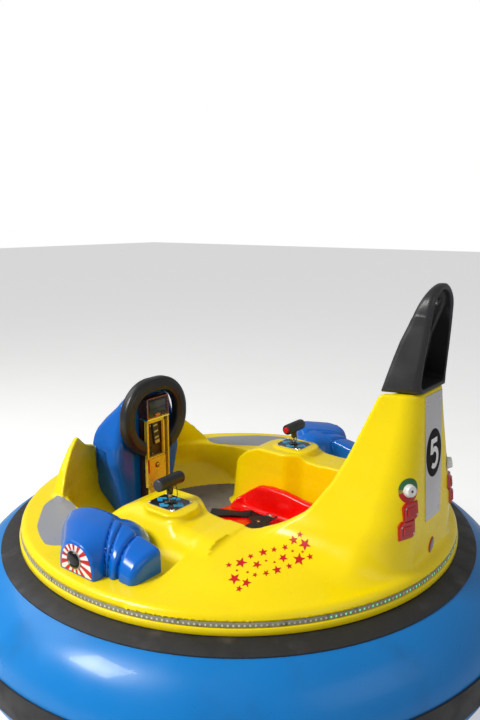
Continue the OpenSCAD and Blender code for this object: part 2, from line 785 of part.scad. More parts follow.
module castor_wheel(x) {
  color("dimgray") translate([x - castor_trail, 0, castor_r]) rotate([90, 0, 0]) difference() {
    rotate_extrude() rounded(0, castor_r, -castor_w / 2, castor_w / 2, 6);
    cylinder(h = 2 * castor_w, r = 5 + bearing_gap, center = true);
  }
}
module castor_wheel_front() castor_wheel(castor_x);
module castor_wheel_rear() castor_wheel(-castor_x);

tube();
rub_band();
flange();
light_strip();
deck();
tub();
flank();
column();
number_panel();
fin_left();
fin_right();
armrest_left();
armrest_right();
seat_shell();
seat_belt();
cowl();
hoop();
console_panel();
console_screen();
lever_plate_left();
lever_plate_right();
lever_left();
lever_right();
pod_left();
pod_right();
pod_lamp_left();
pod_lamp_right();
headrest();
tail_lights();
chassis_pan();
chassis_wall();
castor_bridges();
battery();
drive_unit_left();
drive_unit_right();
drive_hub_left();
drive_hub_right();
drive_tyre_left();
drive_tyre_right();
castor_fork_front();
castor_fork_rear();
castor_wheel_front();
castor_wheel_rear();
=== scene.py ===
import math
import bpy
import numpy as np
from mathutils import Matrix, Vector


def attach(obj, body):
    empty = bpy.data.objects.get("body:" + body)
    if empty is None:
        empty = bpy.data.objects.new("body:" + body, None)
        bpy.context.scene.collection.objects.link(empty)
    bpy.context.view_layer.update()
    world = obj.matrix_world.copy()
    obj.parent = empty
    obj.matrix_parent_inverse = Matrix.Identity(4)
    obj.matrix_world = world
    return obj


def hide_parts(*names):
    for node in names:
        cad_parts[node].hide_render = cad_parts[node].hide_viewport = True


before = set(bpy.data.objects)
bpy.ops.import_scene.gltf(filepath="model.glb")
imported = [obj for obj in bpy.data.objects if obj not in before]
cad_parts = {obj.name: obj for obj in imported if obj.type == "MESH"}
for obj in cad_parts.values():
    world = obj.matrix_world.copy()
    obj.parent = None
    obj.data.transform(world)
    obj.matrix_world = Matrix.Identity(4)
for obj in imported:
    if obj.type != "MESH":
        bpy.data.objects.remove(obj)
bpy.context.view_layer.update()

# Sizes shared by the pieces, in metres: heights above the ground, radii from the middle of the car
DECK = 0.532
FLOOR = 0.360
RIM_R = 0.780
WELL_R = 0.660
ARM_H = 0.101
STICK_Y = 0.370
BACK_H = 0.522
COLUMN_TOP = DECK + BACK_H
COWL_TOP = 0.884
PANEL_X = 0.412
SIDES = (("left", 1), ("right", -1))


# Fields: functions of a place that are below zero inside a shape and above zero outside it
def smooth_min(a, b, k):
    """Joins two fields, with a fillet where they come within k of each other."""
    h = np.clip(0.5 + 0.5 * (b - a) / k, 0, 1)
    return b * (1 - h) + a * h - k * h * (1 - h)


def smooth_max(a, b, k):
    """What two fields share, its edge blended over a width of k."""
    return -smooth_min(-a, -b, k)


def round_max(a, b, r):
    """What two fields share, its edge rounded to a radius."""
    return np.minimum(np.maximum(a, b), -r) + np.hypot(np.maximum(a + r, 0), np.maximum(b + r, 0))


def outline(px, py, points):
    """Signed distance to a closed outline in a plane."""
    dist = np.full(np.shape(px), 1e9)
    inside = np.zeros(np.shape(px), bool)
    for (ax, ay), (bx, by) in zip(points, points[1:] + points[:1]):
        ex, ey = bx - ax, by - ay
        t = np.clip(((px - ax) * ex + (py - ay) * ey) / (ex * ex + ey * ey), 0, 1)
        dist = np.minimum(dist, np.hypot(px - ax - t * ex, py - ay - t * ey))
        crosses = (ay > py) != (by > py)
        if ay != by:
            inside ^= crosses & (px < ax + (py - ay) * ex / ey)
    return np.where(inside, -dist, dist)


def rounded_box(px, py, half_x, half_y, r):
    """A rectangle about the zero point, its corners rounded."""
    qx, qy = np.abs(px) - half_x + r, np.abs(py) - half_y + r
    return np.hypot(np.maximum(qx, 0), np.maximum(qy, 0)) + np.minimum(np.maximum(qx, qy), 0) - r


def egg(u, v, w):
    """An ellipsoid, from the distances to its middle as shares of its half axes."""
    return np.sqrt(u ** 2 + v ** 2 + w ** 2) - 1


def oval(u, v, half_u, half_v, power):
    """An oval that gets squarer with its power."""
    q = (np.abs(u / half_u) ** power + np.abs(v / half_v) ** power) ** (1 / power)
    return (q - 1) * np.minimum(half_u, half_v)


def curve(points, soft):
    """A function through points, its corners rounded over a width."""
    xs = np.array([p[0] for p in points])
    ys = np.array([p[1] for p in points])
    order = np.argsort(xs)
    fine = np.arange(xs.min() - soft, xs.max() + soft, 0.001)
    values = np.interp(fine, xs[order], ys[order])
    kernel = np.hanning(max(int(soft / 0.001), 3))
    pad = len(kernel)
    wide = np.concatenate([np.full(pad, values[0]), values, np.full(pad, values[-1])])
    rounded = np.convolve(wide, kernel / kernel.sum(), "same")[pad:-pad]
    return lambda x: np.interp(x, fine, rounded)


def ramp(x, start, end):
    """A soft step from 0 at its start to 1 at its end."""
    t = np.clip((x - start) / (end - start), 0, 1)
    return t * t * (3 - 2 * t)


def skin(field, low, high, cell):
    """Surface of a field as points, normals and four-sided faces."""
    axes = [np.arange(a, b + cell, cell) for a, b in zip(low, high)]
    value = field(*np.meshgrid(*axes, indexing="ij"))
    inside = value < 0
    cells = tuple(n - 1 for n in value.shape)
    total = np.zeros(cells + (3,))
    count = np.zeros(cells)
    steps = np.eye(3, dtype=int)
    crossings = []
    for axis in range(3):
        near = tuple(slice(0, -1) if i == axis else slice(None) for i in range(3))
        far = tuple(slice(1, None) if i == axis else slice(None) for i in range(3))
        crosses = inside[near] != inside[far]
        crossings.append(crosses)
        gap = value[near] - value[far]
        t = np.where(crosses, value[near] / np.where(crosses, gap, 1), 0)
        others = [i for i in range(3) if i != axis]
        for du in (0, 1):
            for dv in (0, 1):
                part = [slice(None)] * 3
                part[others[0]] = slice(du, du + cells[others[0]])
                part[others[1]] = slice(dv, dv + cells[others[1]])
                hit = crosses[tuple(part)]
                count += hit
                total[..., axis] += hit * t[tuple(part)]
                total[..., others[0]] += hit * du
                total[..., others[1]] += hit * dv
    active = count > 0
    index = np.full(cells, -1)
    index[active] = np.arange(active.sum())
    points = np.argwhere(active) + total[active] / count[active][:, None]
    points = points * cell + np.array([a[0] for a in axes])
    faces = []
    for axis in range(3):
        u, v = [i for i in range(3) if i != axis]
        at = np.argwhere(crossings[axis])
        at = at[(at[:, u] > 0) & (at[:, v] > 0) & (at[:, u] < cells[u]) & (at[:, v] < cells[v])]
        leaving = inside[tuple(at.T)]
        round_edge = ((1, 1), (0, 1), (0, 0), (1, 0))
        quad = np.stack([index[tuple((at - a * steps[u] - b * steps[v]).T)] for a, b in round_edge], 1)
        flip = leaving if axis == 1 else ~leaving
        quad[flip] = quad[flip][:, ::-1]
        faces.append(quad)
    faces = np.concatenate(faces)
    points, normals = settle(field, points, cell)
    return points, normals, faces


def settle(field, points, cell, rounds=4):
    """Moves points onto the surface of a field and returns them with their normals."""
    eps = 0.0008
    for turn in range(rounds + 1):
        x, y, z = points.T
        slope = np.stack([field(x + eps, y, z) - field(x - eps, y, z),
                          field(x, y + eps, z) - field(x, y - eps, z),
                          field(x, y, z + eps) - field(x, y, z - eps)], 1) / (2 * eps)
        length = np.maximum(np.linalg.norm(slope, axis=1), 1e-4)
        normals = slope / length[:, None]
        if turn < rounds:
            step = np.clip(field(x, y, z) / length, -0.5 * cell, 0.5 * cell)
            points = points - normals * step[:, None]
    return points, normals


# Points and faces
def polar(r, angle):
    return r * math.cos(angle), r * math.sin(angle)


def turns(n, shift=0.0):
    """The angles of n even steps round a full turn."""
    return [2 * math.pi * (i + shift) / n for i in range(n)]


def grid(rows, columns, rows_meet=True, columns_meet=False, first=0):
    """Four-sided faces of points numbered row by row, whose last row and column may meet the first."""
    return [(first + i * columns + j, first + (i + 1) % rows * columns + j,
             first + (i + 1) % rows * columns + (j + 1) % columns, first + i * columns + (j + 1) % columns)
            for i in range(rows if rows_meet else rows - 1)
            for j in range(columns if columns_meet else columns - 1)]


def turned_over(faces):
    return [(a, d, c, b) for a, b, c, d in faces]


def lathe(profile, steps, closed=False):
    """A profile of radius and height turned about Z."""
    points = [(*polar(r, a), z) for a in turns(steps) for r, z in profile]
    return points, grid(steps, len(profile), True, closed)


def both_ways(half):
    """A profile that goes on as its own mirror image about height zero."""
    return half + [(r, -h) for r, h in reversed(half) if h]


def rect(u0, u1, v0, v1, r=0.0, steps=4):
    """A rectangle between two limits each way, its corners rounded where it has a radius."""
    if not r:
        return [(u0, v0), (u1, v0), (u1, v1), (u0, v1)]
    corners = ((u1 - r, v1 - r), (u0 + r, v1 - r), (u0 + r, v0 + r), (u1 - r, v0 + r))
    points = []
    for quarter, (u, v) in enumerate(corners):
        for i in range(steps + 1):
            du, dv = polar(r, math.radians(90 * (quarter + i / steps)))
            points.append((u + du, v + dv))
    return points


def circle(r, n=24, ry=None):
    """A circle, or an oval where it has a second radius."""
    return [(r * math.cos(a), (ry or r) * math.sin(a)) for a in turns(n)]


def squared(half_u, half_v, n=40):
    """A rectangle with slightly bulging sides and rounded corners."""
    def bulge(half, share):
        return half * math.copysign(abs(share) ** 0.25, share)
    return [(bulge(half_u, math.cos(a)), bulge(half_v, math.sin(a))) for a in turns(n, 0.5)]


def star(radius, turn):
    return [polar((radius, 0.42 * radius)[i % 2], turn + math.pi * i / 5) for i in range(10)]


# Places
def place_at(origin, x_axis, z_axis):
    """A place whose Z is z_axis and whose X leans as near to x_axis as it can."""
    z = Vector(z_axis).normalized()
    x = Vector(x_axis)
    x = (x - z * x.dot(z)).normalized()
    m = Matrix((x, z.cross(x), z)).transposed().to_4x4()
    m.translation = Vector(origin)
    return m


def moved(place, u, v, w=0.0):
    return place @ Matrix.Translation((u, v, w))


def spun(place, degrees, axis="Z"):
    return place @ Matrix.Rotation(math.radians(degrees), 4, axis)


def on_side(place, side):
    """A place of the left side, or its mirror image on the right."""
    return Matrix.Diagonal((1, side, 1, 1)) @ place


# Pieces
def add(name, mesh, materials, body="car", smooth=True):
    piece = bpy.data.objects.new(name, mesh)
    bpy.context.scene.collection.objects.link(piece)
    for m in materials if isinstance(materials, (list, tuple)) else [materials]:
        mesh.materials.append(m)
    if smooth:
        mesh.shade_smooth()
    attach(piece, body)
    return piece


def add_skin(name, field, low, high, cell, materials, keep=None, slots=None):
    """A piece whose surface is where a field is zero. keep picks its faces, slots their materials."""
    points, normals, faces = skin(field, low, high, cell)
    middle = points[faces].mean(axis=1)
    facing = normals[faces].mean(axis=1)
    if keep is not None:
        chosen = keep(middle, facing)
        faces, middle, facing = faces[chosen], middle[chosen], facing[chosen]
        used = np.unique(faces)
        renumber = np.full(len(points), -1)
        renumber[used] = np.arange(len(used))
        points, normals, faces = points[used], normals[used], renumber[faces]
    mesh = bpy.data.meshes.new(name)
    mesh.from_pydata(points.tolist(), [], faces.tolist())
    piece = add(name, mesh, materials)
    if slots is not None:
        mesh.polygons.foreach_set("material_index", slots(middle, facing).astype(int))
    mesh.normals_split_custom_set_from_vertices(normals.tolist())
    return piece


def above(height):
    """A choice of the faces that lie over a height, so that no face is left where a piece stands."""
    return lambda middle, facing: middle[:, 2] > height


def add_faces(name, points, faces, materials, body="car", smooth=True):
    mesh = bpy.data.meshes.new(name)
    mesh.from_pydata([tuple(p) for p in points], [], faces)
    return add(name, mesh, materials, body, smooth)


# Materials
def material(name, color, rough, grime=(0.05, 0.045, 0.04), worn=0.1, patch=6.0, metal=0.0, coat=0.0,
             specular=0.5, mottle=0.06, bump=0.02, grain=180.0, glow=0.0):
    """A finish with worn patches of grime, uneven gloss and a fine grain.

    worn is how much of the grime shows, patch and grain are how fine the patches and the bumps are.
    """
    m = bpy.data.materials.new(name)
    m.use_nodes = True
    tree = m.node_tree
    shader = tree.nodes["Principled BSDF"]
    place = tree.nodes.new("ShaderNodeTexCoord")

    def noise(scale, detail):
        n = tree.nodes.new("ShaderNodeTexNoise")
        n.inputs["Scale"].default_value = scale
        n.inputs["Detail"].default_value = detail
        tree.links.new(place.outputs["Object"], n.inputs["Vector"])
        return n.outputs["Fac"]

    def spread(value, low, high, out_low, out_high):
        r = tree.nodes.new("ShaderNodeMapRange")
        r.interpolation_type = "SMOOTHSTEP"
        for i, v in enumerate((low, high, out_low, out_high)):
            r.inputs[i + 1].default_value = v
        tree.links.new(value, r.inputs[0])
        return r.outputs[0]

    def mixed(factor, a, b):
        x = tree.nodes.new("ShaderNodeMix")
        x.data_type = "RGBA"
        tree.links.new(factor, x.inputs["Factor"])
        for socket, c in ((x.inputs["A"], a), (x.inputs["B"], b)):
            if isinstance(c, tuple):
                socket.default_value = c + (1,)
            else:
                tree.links.new(c, socket)
        return x.outputs["Result"]

    darker = tuple(c * (1 - mottle) for c in color)
    lighter = tuple(min(c * (1 + mottle), 1) for c in color)
    ground = mixed(spread(noise(patch * 0.4, 2), 0.35, 0.65, 0, 1), darker, lighter)
    shade = mixed(spread(noise(patch, 9), 0.54, 0.78, 0, worn), ground, grime)
    tree.links.new(shade, shader.inputs["Base Color"])
    gloss = spread(noise(patch * 2.3, 6), 0.3, 0.75, rough * 0.85, min(rough * 1.25, 1))
    tree.links.new(gloss, shader.inputs["Roughness"])
    shader.inputs["Metallic"].default_value = metal
    shader.inputs["Coat Weight"].default_value = coat
    shader.inputs["Coat Roughness"].default_value = 0.06
    shader.inputs["Specular IOR Level"].default_value = specular
    if glow:
        shader.inputs["Emission Color"].default_value = color + (1,)
        shader.inputs["Emission Strength"].default_value = glow
    bumps = tree.nodes.new("ShaderNodeBump")
    bumps.inputs["Strength"].default_value = bump
    bumps.inputs["Distance"].default_value = 0.001
    tree.links.new(noise(grain, 3), bumps.inputs["Height"])
    tree.links.new(bumps.outputs["Normal"], shader.inputs["Normal"])
    return m


yellow = material("yellow_gelcoat", (0.97, 0.74, 0.0), 0.26, (0.50, 0.32, 0.02), worn=0.16, coat=0.12,
                  specular=0.3, mottle=0.02, bump=0.03, grain=60)
blue = material("blue_gelcoat", (0.0, 0.13, 0.58), 0.2, (0.01, 0.03, 0.10), coat=0.3, specular=0.35,
                bump=0.03, grain=60)
tube_vinyl = material("blue_vinyl", (0.0, 0.20, 0.60), 0.32, (0.01, 0.04, 0.10), worn=0.45, patch=3.2,
                      coat=0.12, specular=0.4, mottle=0.08, bump=0.10, grain=26)
band_rubber = material("black_rubber", (0.012, 0.012, 0.013), 0.5, (0.10, 0.09, 0.085), worn=0.5, bump=0.25,
                       grain=220)
flange_vinyl = material("black_sheet", (0.018, 0.018, 0.020), 0.52, (0.11, 0.10, 0.10), worn=0.5, patch=9,
                        bump=0.18, grain=120)
hard_black = material("black_plastic", (0.016, 0.016, 0.018), 0.34, (0.09, 0.085, 0.08), worn=0.25,
                      bump=0.2, grain=420)
hood_plastic = material("grained_plastic", (0.022, 0.022, 0.025), 0.36, (0.10, 0.10, 0.10), worn=0.25,
                        bump=0.35, grain=340)
red_shell = material("red_seat", (0.95, 0.004, 0.002), 0.26, (0.2, 0.01, 0.01), coat=0.15, specular=0.35,
                     bump=0.04)
carpet = material("grey_carpet", (0.20, 0.185, 0.17), 0.95, (0.07, 0.065, 0.06), worn=0.6, patch=20,
                  bump=0.9, grain=600)
silver = material("silver_film", (0.62, 0.62, 0.65), 0.30, (0.30, 0.30, 0.31), metal=0.75, coat=0.2,
                  bump=0.06, grain=40)
grey_film = material("grey_film", (0.30, 0.31, 0.34), 0.32, (0.16, 0.16, 0.17), coat=0.2, bump=0.04)
red_film = material("red_film", (0.58, 0.001, 0.001), 0.5, (0.4, 0.05, 0.01))
white_film = material("white_film", (0.86, 0.86, 0.84), 0.3, (0.5, 0.5, 0.45))
black_film = material("black_film", (0.010, 0.010, 0.012), 0.18, (0.05, 0.05, 0.05), coat=0.4)
matt_black = material("matt_black_film", (0.006, 0.006, 0.007), 0.6, (0.03, 0.03, 0.03), specular=0.1)
cyan_film = material("cyan_film", (0.02, 0.36, 0.68), 0.3, (0.02, 0.08, 0.15))
green_film = material("green_film", (0.03, 0.16, 0.05), 0.3, (0.02, 0.05, 0.02))
brass = material("brass_edge", (0.78, 0.55, 0.16), 0.2, (0.2, 0.12, 0.04), worn=0.4, patch=30, metal=1.0,
                 bump=0.05)
chrome = material("bright_steel", (0.78, 0.78, 0.80), 0.14, (0.25, 0.24, 0.22), metal=1.0, bump=0.03)
zinc = material("zinc_plate", (0.55, 0.55, 0.56), 0.35, (0.2, 0.18, 0.15), worn=0.5, patch=25, metal=1.0,
                bump=0.1)
screen_brown = material("brown_frame", (0.035, 0.012, 0.008), 0.3, (0.04, 0.02, 0.01), coat=0.3, bump=0.05)
screen_glass = material("lcd_window", (0.050, 0.060, 0.040), 0.10, (0.05, 0.06, 0.05), coat=0.6, bump=0.01)
dark_glass = material("dark_window", (0.006, 0.005, 0.006), 0.08, (0.06, 0.05, 0.04), coat=0.2,
                      specular=0.3, bump=0.01)
webbing = material("belt_webbing", (0.012, 0.012, 0.013), 0.7, (0.07, 0.07, 0.07), bump=0.8, grain=700)
cap_grey = material("grey_cap", (0.055, 0.055, 0.06), 0.4, (0.12, 0.12, 0.12), bump=0.1)
gold_panel = material("gold_panel", (0.90, 0.66, 0.05), 0.26, (0.40, 0.26, 0.05), worn=0.15, patch=14,
                      metal=0.2, coat=0.3, bump=0.04)
console_dark = material("console_inside", (0.035, 0.014, 0.008), 0.35, (0.08, 0.05, 0.02), worn=0.4,
                        bump=0.1)
copper = material("copper_edge", (0.72, 0.27, 0.10), 0.25, (0.2, 0.08, 0.03), worn=0.3, patch=30, metal=0.9,
                  bump=0.05)
red_lens = material("red_lens", (0.45, 0.002, 0.001), 0.12, (0.2, 0.01, 0.0), coat=0.8, bump=0.05,
                    glow=0.03)
white_knob = material("white_knob", (0.82, 0.82, 0.80), 0.2, (0.4, 0.38, 0.3), coat=0.5)
strip_cover = material("strip_cover", (0.30, 0.29, 0.20), 0.25, (0.07, 0.055, 0.03), worn=0.85, patch=42,
                       coat=0.3, bump=0.4, grain=300)
led_green = material("led_green", (0.14, 0.62, 0.34), 0.3, bump=0.01, glow=0.8)
led_white = material("led_white", (0.72, 0.74, 0.62), 0.3, (0.2, 0.18, 0.1), worn=0.6, bump=0.01)
black_steel = material("painted_steel", (0.03, 0.03, 0.032), 0.5, (0.12, 0.09, 0.06), worn=0.6, patch=12,
                       bump=0.25, grain=150)
tyre_rubber = material("tyre_rubber", (0.02, 0.02, 0.02), 0.75, (0.12, 0.11, 0.10), worn=0.7, patch=18,
                       bump=0.5, grain=260)
cast_metal = material("cast_metal", (0.45, 0.45, 0.47), 0.45, (0.15, 0.13, 0.11), metal=0.9, bump=0.3)

# Solids that show as they are
for finish, nodes in (
    (band_rubber, "rub_band"), (flange_vinyl, "flange"), (silver, "number_panel"), (hard_black, "battery"),
    (black_steel, "chassis_pan chassis_wall castor_bridges"), (cast_metal, "drive_hub_left drive_hub_right"),
    (zinc, "drive_unit_left drive_unit_right castor_fork_front castor_fork_rear"),
    (tyre_rubber, "castor_wheel_front castor_wheel_rear"),
):
    for node in nodes.split():
        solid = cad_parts[node].data
        solid.materials.clear()
        solid.materials.append(finish)


# Yellow moulding
WELL_REAR = -0.340
KNEE_X, KNEE_R = 0.300, 0.440
FOOT_REAR = 0.236
seat_half = curve([(-0.6, 0.298), (-0.09, 0.298), (-0.03, 0.258), (0.5, 0.258)], 0.05)
room = curve([(0.30, 0.541), (FLOOR, 0.541), (0.440, 0.642), (0.470, 0.656), (1.2, 0.656)], 0.02)


def opening(x, y, inset):
    """The cockpit's opening in plan: a straight part for the seat and a wide part for the feet."""
    side = np.abs(y)
    seat = round_max(np.maximum(WELL_REAR + inset - x, x - KNEE_X), side - seat_half(x) + inset, 0.05)
    foot = round_max(np.hypot(x, y) - WELL_R + inset, np.hypot(x - KNEE_X, y) - KNEE_R + inset, 0.03)
    foot = round_max(foot, FOOT_REAR + inset - x, 0.05)
    return smooth_min(seat, foot, 0.07)


def cavity(x, y, z):
    """The room in the tub, a little narrower towards its floor."""
    plan = opening(x, y, 0.002 + 0.012 * np.clip((DECK - z) / (DECK - FLOOR), 0, 1))
    walls = smooth_max(plan, np.hypot(x, y) - room(z), 0.03)
    return round_max(walls, FLOOR - z, 0.03)


# Heights above the deck at which the backrest is measured, from its foot to just past its top
BACK_STEPS = (0.068, 0.118, 0.158, 0.248, 0.328, 0.436, BACK_H, 0.6)


def up_the_back(foot, *steps):
    """A curve over the height: the points of the foot, then one value for each step of the backrest."""
    return curve(foot + list(zip(BACK_STEPS, steps)), 0.05)


back_front = up_the_back([(-0.1, -0.340), (0.0, -0.340)],
                         -0.344, -0.402, -0.452, -0.508, -0.542, -0.580, -0.612, -0.638)
back_front_half = up_the_back([(-0.1, 0.296)], 0.292, 0.286, 0.262, 0.224, 0.192, 0.160, 0.142, 0.124)
back_rear_half = up_the_back([(-0.1, 0.262)], 0.256, 0.240, 0.226, 0.186, 0.159, 0.125, 0.104, 0.086)
back_round = up_the_back([(-0.1, 0.140)], 0.136, 0.116, 0.102, 0.084, 0.070, 0.056, 0.046, 0.040)
back_rear = curve([(-0.1, -0.744), (0.118, -0.744), (BACK_H, -0.724), (0.6, -0.720)], 0.03)
lean_rear = up_the_back([(-0.1, -0.330), (-0.03, -0.338), (0.0, -0.347), (0.030, -0.368)],
                        -0.402, -0.462, -0.509, -0.558, -0.585, -0.616, -0.644, -0.668)
lean_half = up_the_back([(-0.1, 0.296), (0.0, 0.288)], 0.272, 0.262, 0.240, 0.202, 0.170, 0.138, 0.120, 0.100)


def backrest(x, side, h):
    """The column under the headrest, narrower and leaning back towards its top."""
    front, rear = back_front(h), back_rear(h)
    half_front, half_rear = back_front_half(h), back_rear_half(h)
    slope = (half_front - half_rear) / (front - rear)
    flat = (side - half_rear - slope * np.clip(x - rear, -0.02, 0.5)) / np.sqrt(1 + slope * slope)
    plan = round_max(round_max(rear - x, flat, back_round(h)), x - front, 0.018)
    return round_max(0.85 * plan, h - BACK_H, 0.010)


def back_hollow(x, side, h):
    """What is cut out of the backrest's front for the driver's back."""
    half = lean_half(h)
    lean = round_max(lean_rear(h) - x, side - half, 0.34 * half)
    return 0.85 * round_max(lean, x - back_front(h) - 0.05, 0.02)


FLANK_FRONT = -0.187
# The flank's height above the deck by the radius, at its front and at its rear
flank_front = curve([(0.0, 0.070), (0.30, 0.068), (0.447, 0.062), (0.54, 0.040), (0.63, 0.014),
                     (0.70, -0.006), (0.80, -0.03)], 0.08)
flank_rear = curve([(0.0, 0.070), (0.28, 0.072), (0.46, 0.069), (0.54, 0.060), (0.60, 0.048), (0.66, 0.034),
                    (0.70, 0.021), (0.74, 0.003), (0.77, -0.020), (0.80, -0.05)], 0.05)


def flank(x, radius, h):
    """The raised rear half of the deck, whose height goes by the radius."""
    share = ramp(-x, 0.20, 0.46)
    height = flank_front(radius) + (flank_rear(radius) - flank_front(radius)) * share
    return round_max(0.93 * (h - height), x - FLANK_FRONT, 0.014)


ARM_FRONT, ARM_REAR = 0.246, -0.25
# How far out the armrest's leaning face is, and at which height above the deck
ARM_OUTER, ARM_OUTER_H = 0.470, 0.0505
BOSS_X, BOSS_OUT = -0.012, 0.004
BOSS_HALF_L, BOSS_HALF_W = 0.088, 0.074
# The armrest's height above the deck, from the rear to the front
arm_top = curve([(-0.30, 0.066), (-0.196, 0.066), (-0.105, 0.072), (-0.078, 0.095), (0.10, 0.095),
                 (0.16, 0.070), (0.215, 0.024), (0.25, -0.01), (0.40, -0.08)], 0.045)


def armrest(x, side, h):
    """A long block with a leaning outer face, and a boss for the lever's plate on it."""
    outer = 0.860 * (side - ARM_OUTER) + 0.511 * (h - ARM_OUTER_H)
    block = round_max(round_max(0.95 * (h - arm_top(x)), outer, 0.03), x - ARM_FRONT, 0.05)
    boss = rounded_box(x - BOSS_X, side - STICK_Y - BOSS_OUT, BOSS_HALF_L, BOSS_HALF_W, 0.06)
    boss = round_max(boss, h - ARM_H, 0.007)
    return np.maximum(smooth_min(block, boss, 0.008), ARM_REAR - x)


FIN_OUTER, FIN_INNER, FIN_REAR = 0.700, 0.650, 0.3
WEB_X, WEB_Y, WEB_H = 0.611, 0.145, 0.100
WEB_HALF_L, WEB_HALF_T = 0.067, 0.007
# The fin seen from the front, as distance from the middle and height above the deck
FIN_OUTLINE = [(0.130, -0.05), (0.424, -0.05), (0.424, 0.0), (0.404, 0.030), (0.366, 0.080), (0.302, 0.142),
               (0.258, 0.172), (0.246, 0.170), (0.196, 0.124), (0.138, 0.102)]


def fin(x, side, radius, h):
    """A curved wall cut to the fin's outline, with a web behind its inner end."""
    wall = round_max(radius - FIN_OUTER + 0.16 * h, FIN_INNER - radius, 0.006)
    plate = round_max(wall, outline(side, h, FIN_OUTLINE), 0.008)
    web = round_max(np.abs(side - WEB_Y) - WEB_HALF_T, np.abs(x - WEB_X) - WEB_HALF_L, 0.004)
    web = round_max(web, h - WEB_H, 0.004)
    return np.maximum(smooth_min(plate, web, 0.010), FIN_REAR - x)


def body(x, y, z):
    side, radius, h = np.abs(y), np.hypot(x, y), z - DECK
    solid = round_max(h, radius - RIM_R + 0.002, 0.020)
    solid = smooth_min(solid, flank(x, radius, h), 0.020)
    solid = smooth_min(solid, armrest(x, side, h), 0.022)
    solid = smooth_min(solid, backrest(x, side, h), 0.02 + 0.07 * ramp(x, -0.75, -0.62))
    solid = smooth_min(solid, fin(x, side, radius, h), 0.018)
    solid = smooth_max(solid, -back_hollow(x, side, h), 0.022)
    return smooth_max(solid, -cavity(x, y, z), 0.010)


# The deck's underside: what lies farther out and lower than this
UNDER_R, UNDER_Z = 0.70, 0.5135


def shows(middle, facing):
    """Leaves out the underside of the deck, which the rim's lip closes."""
    radius = np.hypot(middle[:, 0], middle[:, 1])
    return (radius < UNDER_R) | (middle[:, 2] > UNDER_Z)


def carpeted(middle, facing):
    return (middle[:, 2] < FLOOR + 0.006) & (facing[:, 2] > 0.9)


shell = add_skin("body_shell", body, (-0.80, -0.80, FLOOR - 0.012), (0.80, 0.80, COLUMN_TOP + 0.012), 0.0085,
                 [yellow, carpet], keep=shows, slots=carpeted)
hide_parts("deck", "tub", "flank", "column", "fin_left", "fin_right", "armrest_left", "armrest_right")

# Lip of the rim, from the deck's edge over the groove of the light strip to its foot
RIM_LIP = [(0.7778, 0.516), (0.7780, 0.5095), (0.7770, 0.5086), (0.7712, 0.5084), (0.7712, 0.4914),
           (0.7828, 0.4912), (0.7840, 0.4895), (0.7840, 0.4730), (0.7825, 0.4705), (0.7600, 0.4700)]
add_faces("rim_lip", *lathe(RIM_LIP, 192), yellow)


# Headrest: outlines seen from the side, as x and height over the column's top
HOOD_SIDE = [(-0.612, 0.0), (-0.726, 0.0), (-0.742, 0.266), (-0.744, 0.320), (-0.718, 0.320), (-0.700, 0.272),
             (-0.654, 0.150)]
HOOD_RECESS = [(-0.640, 0.016), (-0.800, 0.010), (-0.800, 0.320), (-0.728, 0.320), (-0.716, 0.268),
               (-0.668, 0.150)]
HOOD_HALF = 0.144
HOOD_H = 0.316
HOOD_ARCH = 0.092
HOOD_WALL = 0.021
# The slot and the dimple: how far under the hood's top, and their half sizes
SLOT_DOWN, SLOT_HALF_W, SLOT_HALF_H = 0.062, 0.044, 0.011
DIMPLE_X, DIMPLE_DOWN = -0.704, 0.150
DIMPLE_HALF = (0.030, 0.022, 0.040)


def hood_front(side, up, inset):
    """The hood seen from the front: a trunk that narrows up to a round arch."""
    arch_up = HOOD_H - HOOD_ARCH
    arch = np.hypot(side, up - arch_up) - HOOD_ARCH + inset
    half = HOOD_HALF - (HOOD_HALF - HOOD_ARCH) * up / arch_up
    trunk = np.maximum(0.97 * (side - half + inset), up - arch_up)
    return smooth_min(arch, trunk, 0.012)


def hood(x, y, z):
    """The hood, open at its back, with a slot for a hand near its top and a dimple inside."""
    side, up = np.abs(y), z - COLUMN_TOP
    taper = 0.95 * (side - HOOD_HALF - 0.31 * (x + 0.612))
    outer = round_max(round_max(hood_front(side, up, 0), outline(x, up, HOOD_SIDE), 0.016), taper, 0.030)
    outer = np.maximum(outer, 0.001 - up)
    recess = round_max(hood_front(side, up, HOOD_WALL), outline(x, up, HOOD_RECESS), 0.012)
    recess = round_max(recess, taper + HOOD_WALL, 0.02)
    hand_slot = rounded_box(side, up - HOOD_H + SLOT_DOWN, SLOT_HALF_W, SLOT_HALF_H, 0.010)
    hand_slot = np.maximum(hand_slot, x + 0.60)
    dimple = egg((x - DIMPLE_X) / DIMPLE_HALF[0], side / DIMPLE_HALF[1],
                 (up - HOOD_H + DIMPLE_DOWN) / DIMPLE_HALF[2])
    shape = smooth_max(outer, -recess, 0.010)
    shape = smooth_max(shape, -0.02 * dimple, 0.006)
    return smooth_max(shape, -hand_slot, 0.006)


head = add_skin("headrest_hood", hood, (-0.760, -0.160, COLUMN_TOP - 0.008),
                (-0.600, 0.160, COLUMN_TOP + HOOD_H + 0.012), 0.0045, hood_plastic)
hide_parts("headrest")


# Cowl
COWL_REAR = PANEL_X + 0.046
COWL_SIDE = [(COWL_REAR, 0.350), (COWL_REAR, COWL_TOP), (PANEL_X + 0.072, COWL_TOP - 0.004),
             (0.522, DECK + 0.286), (0.574, DECK + 0.236), (0.630, DECK + 0.168), (0.668, DECK + 0.090),
             (0.668, 0.350)]
# Half the width of the cowl's rear, by height
COWL_HALF = curve([(0.30, 0.118), (0.46, 0.152), (DECK + 0.06, 0.186), (DECK + 0.13, 0.182),
                   (COWL_TOP - 0.06, 0.132), (COWL_TOP - 0.014, 0.098), (COWL_TOP, 0.070),
                   (0.95, 0.02)], 0.03)
